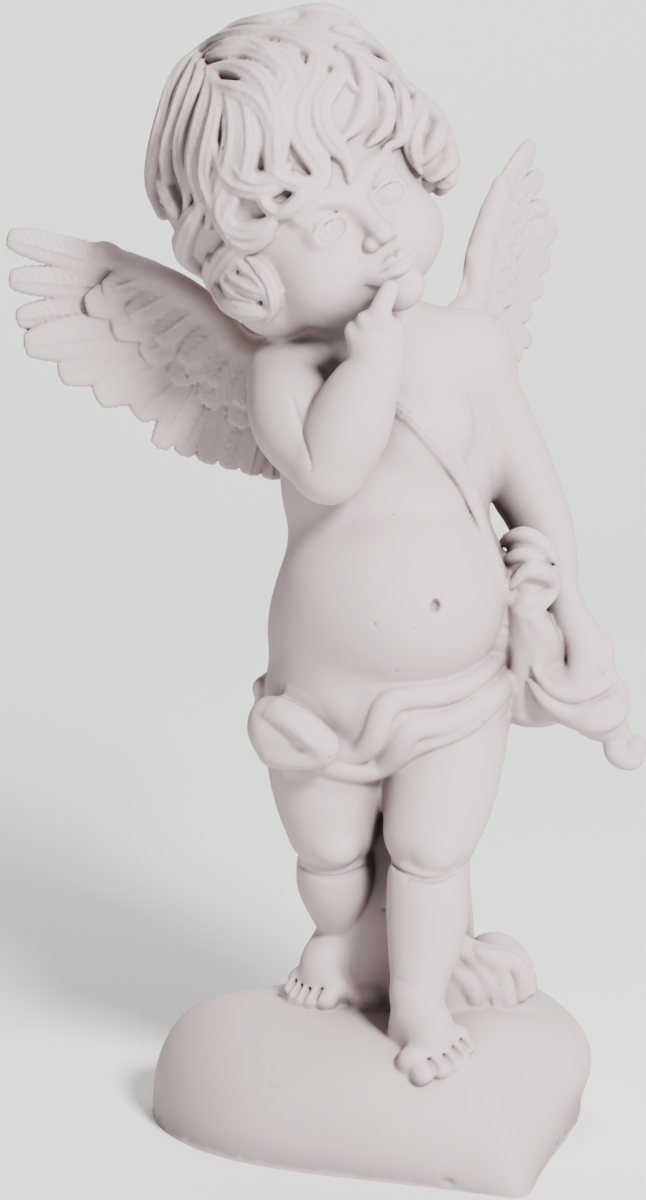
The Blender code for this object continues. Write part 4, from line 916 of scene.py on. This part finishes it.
def iris(clay, middle):
    """A groove round the front of an eyeball, and the hollow of its pupil."""
    rows = []
    for a in np.radians(np.linspace(0, 360, 19)):
        x, z = IRIS_RADIUS * math.cos(a), IRIS_RADIUS * math.sin(a)
        y = -math.sqrt(EYE_RADIUS ** 2 - x ** 2 - z ** 2)
        rows.append((middle[0] + x, middle[1] + y, middle[2] + z, 0.55))
    clay.cut(limb(rows, HEAD), 0.5)
    clay.cut(ball(middle + (0, -EYE_RADIUS - 0.2, 0), 1.7, HEAD), 0.5)


def fine_face(clay):
    """Irises, lids, nostrils, the line of the mouth and the hollow above it."""
    for side in (-1, 1):
        middle = EYE_PLACE * (side, 1, 1)
        iris(clay, middle + (0, 0, 0.4))
        lid_line = [(middle[0] + 11.4 * math.sin(a), middle[1] - 11.6 * math.cos(a),
                     middle[2] + 3.4 + 4.6 * math.cos(a * 1.5), 0.6)
                    for a in np.radians(np.linspace(-48, 48, 11))]
        clay.cut(limb(lid_line, HEAD), 1.2)
        clay.cut(ball((side * 3.1, -60.2, -27.9), 1.5, HEAD), 0.8)
    line = [(-11.5, -53.6, -39.2, 0.5), (-6, -58.6, -39.4, 0.8), (-2.2, -60.8, -39.2, 0.9),
            (0, -60.9, -39.8, 0.9)]
    clay.cut(limb(mirrored(line), HEAD), 0.8)
    clay.cut(limb([(0, -60.6, -29.5, 1.0), (0, -60.2, -34.5, 1.5)], HEAD), 1.5)


# The route of each crease of the body, and its depth
CREASES = [
    ([(-38, 79), (-28, 73), (-14, 72), (0, 80)], 1.5),
    ([(9, 82), (20, 73), (36, 70), (50, 78)], 1.5),
    ([(-27, 38), (-18, 35), (-7, 38)], 1.2), ([(14, 16), (24, 12), (37, 18)], 0.7),
    ([(-42, 333), (-34, 306), (-30, 290)], 1.2), ([(84, 246), (94, 240), (104, 242)], 0.9),
]


def crease(clay, route, depth):
    """A soft groove that is drawn on the clay along places (x, z)."""
    place = evened([seen(clay, x, z)[0] for x, z in smooth_route(route)])
    share = np.linspace(0, 1, len(place))
    radii = depth * (0.25 + 0.75 * np.sin(np.pi * share))
    clay.cut(limb(np.column_stack([place, radii])), 1.5)


def fine_body(clay):
    """The navel, and the creases of the arms, knees and ankles."""
    clay.cut(ellipsoid(seen(clay, 34, 218)[0], (2.6, 5, 3.6)), 2)
    for route, depth in CREASES:
        crease(clay, route, depth)


def weathered(clay):
    """Chips along the rim of the base, and pinholes where air was caught in the cast."""
    chance = np.random.default_rng(SEED)
    outline = heart_outline()
    for n in chance.choice(len(outline), CHIPS, replace=False):
        x, y = outline[n] + chance.uniform(2.4, 3.8) * (outline[n] - HEART_MIDDLE) / 100
        middle = (x, y, chance.uniform(0, 4))
        clay.cut(ellipsoid(middle, (4.5, 4.5, chance.uniform(1.2, 2.4)), FLOOR), 1.5)
    for _ in range(PINHOLES):
        place, _ = seen(clay, chance.uniform(-60, 90), chance.uniform(-50, 330), furthest=40)
        clay.cut(ball(place, chance.uniform(0.7, 1.1)), 0.6)


def scene_object(name, data):
    obj = bpy.data.objects.new(name, data)
    bpy.context.scene.collection.objects.link(obj)
    return obj


def mesh_object(name, points, faces):
    mesh = bpy.data.meshes.new(name)
    mesh.from_pydata((np.asarray(points) * MM).tolist(), [], np.asarray(faces).tolist())
    return scene_object(name, mesh)


def smooth(mesh):
    for polygon in mesh.polygons:
        polygon.use_smooth = True


def cast(points, faces):
    """Sets the clay's skin flat on the floor and thins it to a mesh that a scene can carry."""
    points = np.array(points)
    points[:, 2] = np.maximum(points[:, 2], 0)
    statue = mesh_object("statue", points, faces)
    thin = statue.modifiers.new("thin", "DECIMATE")
    thin.ratio = min(1, TRIANGLES / (2 * len(faces)))
    result = statue.evaluated_get(bpy.context.evaluated_depsgraph_get())
    mesh = bpy.data.meshes.new_from_object(result)
    statue.modifiers.clear()
    statue.data = mesh
    smooth(mesh)
    for vertex in mesh.vertices:
        if vertex.co.z < FLAT * MM:
            vertex.co.z = 0
    return statue


# Materials

PLASTER_TINTS = ((0.35, (0.485, 0.398, 0.396)), (0.68, (0.53, 0.435, 0.433)))
# Painted shade: colours that the plaster's base colour is multiplied by, dark deep in a hollow or
# crease and white on open surface
PAINTED_SHADE_STOPS = ((0.15, (0.17, 0.158, 0.162)), (0.85, (1, 1, 1)))
PAINTED_SHADE_REACH = 0.04  # metres within which one surface shades another
PALE = (0.86, 0.85, 0.85)


def matte(name, roughness):
    """A new material, and its shader."""
    material = bpy.data.materials.new(name)
    material.use_nodes = True
    shader = material.node_tree.nodes["Principled BSDF"]
    shader.inputs["Roughness"].default_value = roughness
    return material, shader


def new_node(nodes, kind, **values):
    node = nodes.new("ShaderNode" + kind)
    for name, value in values.items():
        node.inputs[name].default_value = value
    return node


def ramp(nodes, stops):
    """A ramp of colours between two stops of (place, colour)."""
    node = new_node(nodes, "ValToRGB")
    for element, (place, colour) in zip(node.color_ramp.elements, stops):
        element.position = place
        element.color = (*colour, 1)
    return node


def plaster():
    """Matte plaster with a faint warm tint and a fine tooth, and painted shade that makes it darker
    and greyer in its hollows.
    """
    material, shader = matte("plaster", 0.85)
    shader.inputs["Metallic"].default_value = 0.0
    shader.inputs["Specular IOR Level"].default_value = 0.25
    nodes, links = material.node_tree.nodes, material.node_tree.links
    place = new_node(nodes, "TexCoord")
    clouds = new_node(nodes, "TexNoise", Scale=14.0, Detail=4.0)
    tint = ramp(nodes, PLASTER_TINTS)
    # Painted shade: an ambient occlusion mask darkens the base colour in hollows and creases
    hollow = new_node(nodes, "AmbientOcclusion", Distance=PAINTED_SHADE_REACH)
    hollow.samples = 6
    depth = ramp(nodes, PAINTED_SHADE_STOPS)
    shade = new_node(nodes, "Mix")
    shade.data_type = "RGBA"
    shade.blend_type = "MULTIPLY"
    shade.inputs[0].default_value = 1.0
    tooth = new_node(nodes, "TexNoise", Scale=420.0, Detail=3.0)
    bump = new_node(nodes, "Bump", Strength=0.12, Distance=0.0008)
    for start, output, end, entry in (
            (place, "Object", clouds, "Vector"), (place, "Object", tooth, "Vector"),
            (clouds, "Fac", tint, "Fac"), (hollow, "AO", depth, "Fac"),
            (tint, "Color", shade, 6), (depth, "Color", shade, 7),
            (shade, 2, shader, "Base Color"), (tooth, "Fac", bump, "Height"),
            (bump, "Normal", shader, "Normal")):
        links.new(start.outputs[output], end.inputs[entry])
    return material


def pale():
    material, shader = matte("pale_floor", 0.9)
    shader.inputs["Base Color"].default_value = (*PALE, 1)
    return material


# The studio

SWEEP_HALF_WIDTH, SWEEP_FRONT = 4000, -4000
SWEEP_BEND, SWEEP_RADIUS, SWEEP_TOP = 1400, 1200, 3600  # where the floor turns up, and how
AIM = (-0.02, 0, 0.33)  # the middle of the statue, in metres
# Each lamp's place and aim in metres, its width, its watts and its colour
LAMPS = {
    "key": ((1.0, -1.85, 1.75), AIM, 0.6, 215, (1.0, 0.98, 0.97)),
    "fill": ((-1.6, -1.6, 0.9), AIM, 1.2, 0.8, (0.97, 0.97, 1.0)),
    "wall": ((0, 0.9, 2.3), (0, 2.6, 0.6), 1.6, 60, (1.0, 0.99, 0.98)),
}
WORLD_COLOUR, WORLD_STRENGTH = (0.95, 0.95, 0.96), 0.08
CAMERA_PLACE = (-0.0244, -2.1519, 0.7468)
CAMERA_DOWN = 12  # degrees
FILM_HEIGHT, FOCAL_LENGTH = 24.0, 84.6


def area_light(name, place, aim, size, watts, colour):
    lamp = bpy.data.lights.new(name, "AREA")
    lamp.shape = "DISK"
    lamp.size = size
    lamp.energy = watts
    lamp.color = colour
    obj = scene_object(name, lamp)
    obj.location = place
    obj.rotation_euler = (Vector(aim) - Vector(place)).to_track_quat("-Z", "Y").to_euler()


def sweep_profile():
    """The side view of the backdrop, as places (y, z): a floor that turns up into a wall."""
    bend = [(SWEEP_BEND + SWEEP_RADIUS * math.sin(a), SWEEP_RADIUS * (1 - math.cos(a)))
            for a in np.radians(np.linspace(0, 90, 25))]
    return [(SWEEP_FRONT, 0), (SWEEP_BEND, 0), *bend, (SWEEP_BEND + SWEEP_RADIUS, SWEEP_TOP)]


def studio():
    """A pale floor that sweeps up behind, soft light from the right and a camera a little above."""
    rows = sweep_profile()
    points = [(side * SWEEP_HALF_WIDTH, y, z) for y, z in rows for side in (-1, 1)]
    faces = [(2 * i, 2 * i + 1, 2 * i + 3, 2 * i + 2) for i in range(len(rows) - 1)]
    floor = mesh_object("floor", points, faces)
    smooth(floor.data)
    floor.data.materials.append(pale())
    for name, lamp in LAMPS.items():
        area_light(name, *lamp)
    world = bpy.data.worlds.new("pale_world")
    world.use_nodes = True
    background = world.node_tree.nodes["Background"]
    background.inputs["Color"].default_value = (*WORLD_COLOUR, 1)
    background.inputs["Strength"].default_value = WORLD_STRENGTH
    bpy.context.scene.world = world
    lens = bpy.data.cameras.new("camera")
    lens.sensor_fit = "VERTICAL"
    lens.sensor_height = FILM_HEIGHT
    lens.lens = FOCAL_LENGTH
    camera = scene_object("camera", lens)
    camera.location = CAMERA_PLACE
    camera.rotation_euler = (math.radians(90 - CAMERA_DOWN), 0, 0)
    bpy.context.scene.camera = camera


def main():
    clay = Clay(*room(), CLAY_CELL)
    # Each form is laid on those before it, so their order matters
    for build in (heart_base, trunk, support, legs, hip_cloth, strap, knot, wings, arms, hand_cloth,
                  head, hair, fine_face, fine_body, weathered):
        build(clay)
    statue = cast(*clay.skin())
    statue.data.materials.append(plaster())
    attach(statue, "root")
    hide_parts(NAME)
    studio()


main()
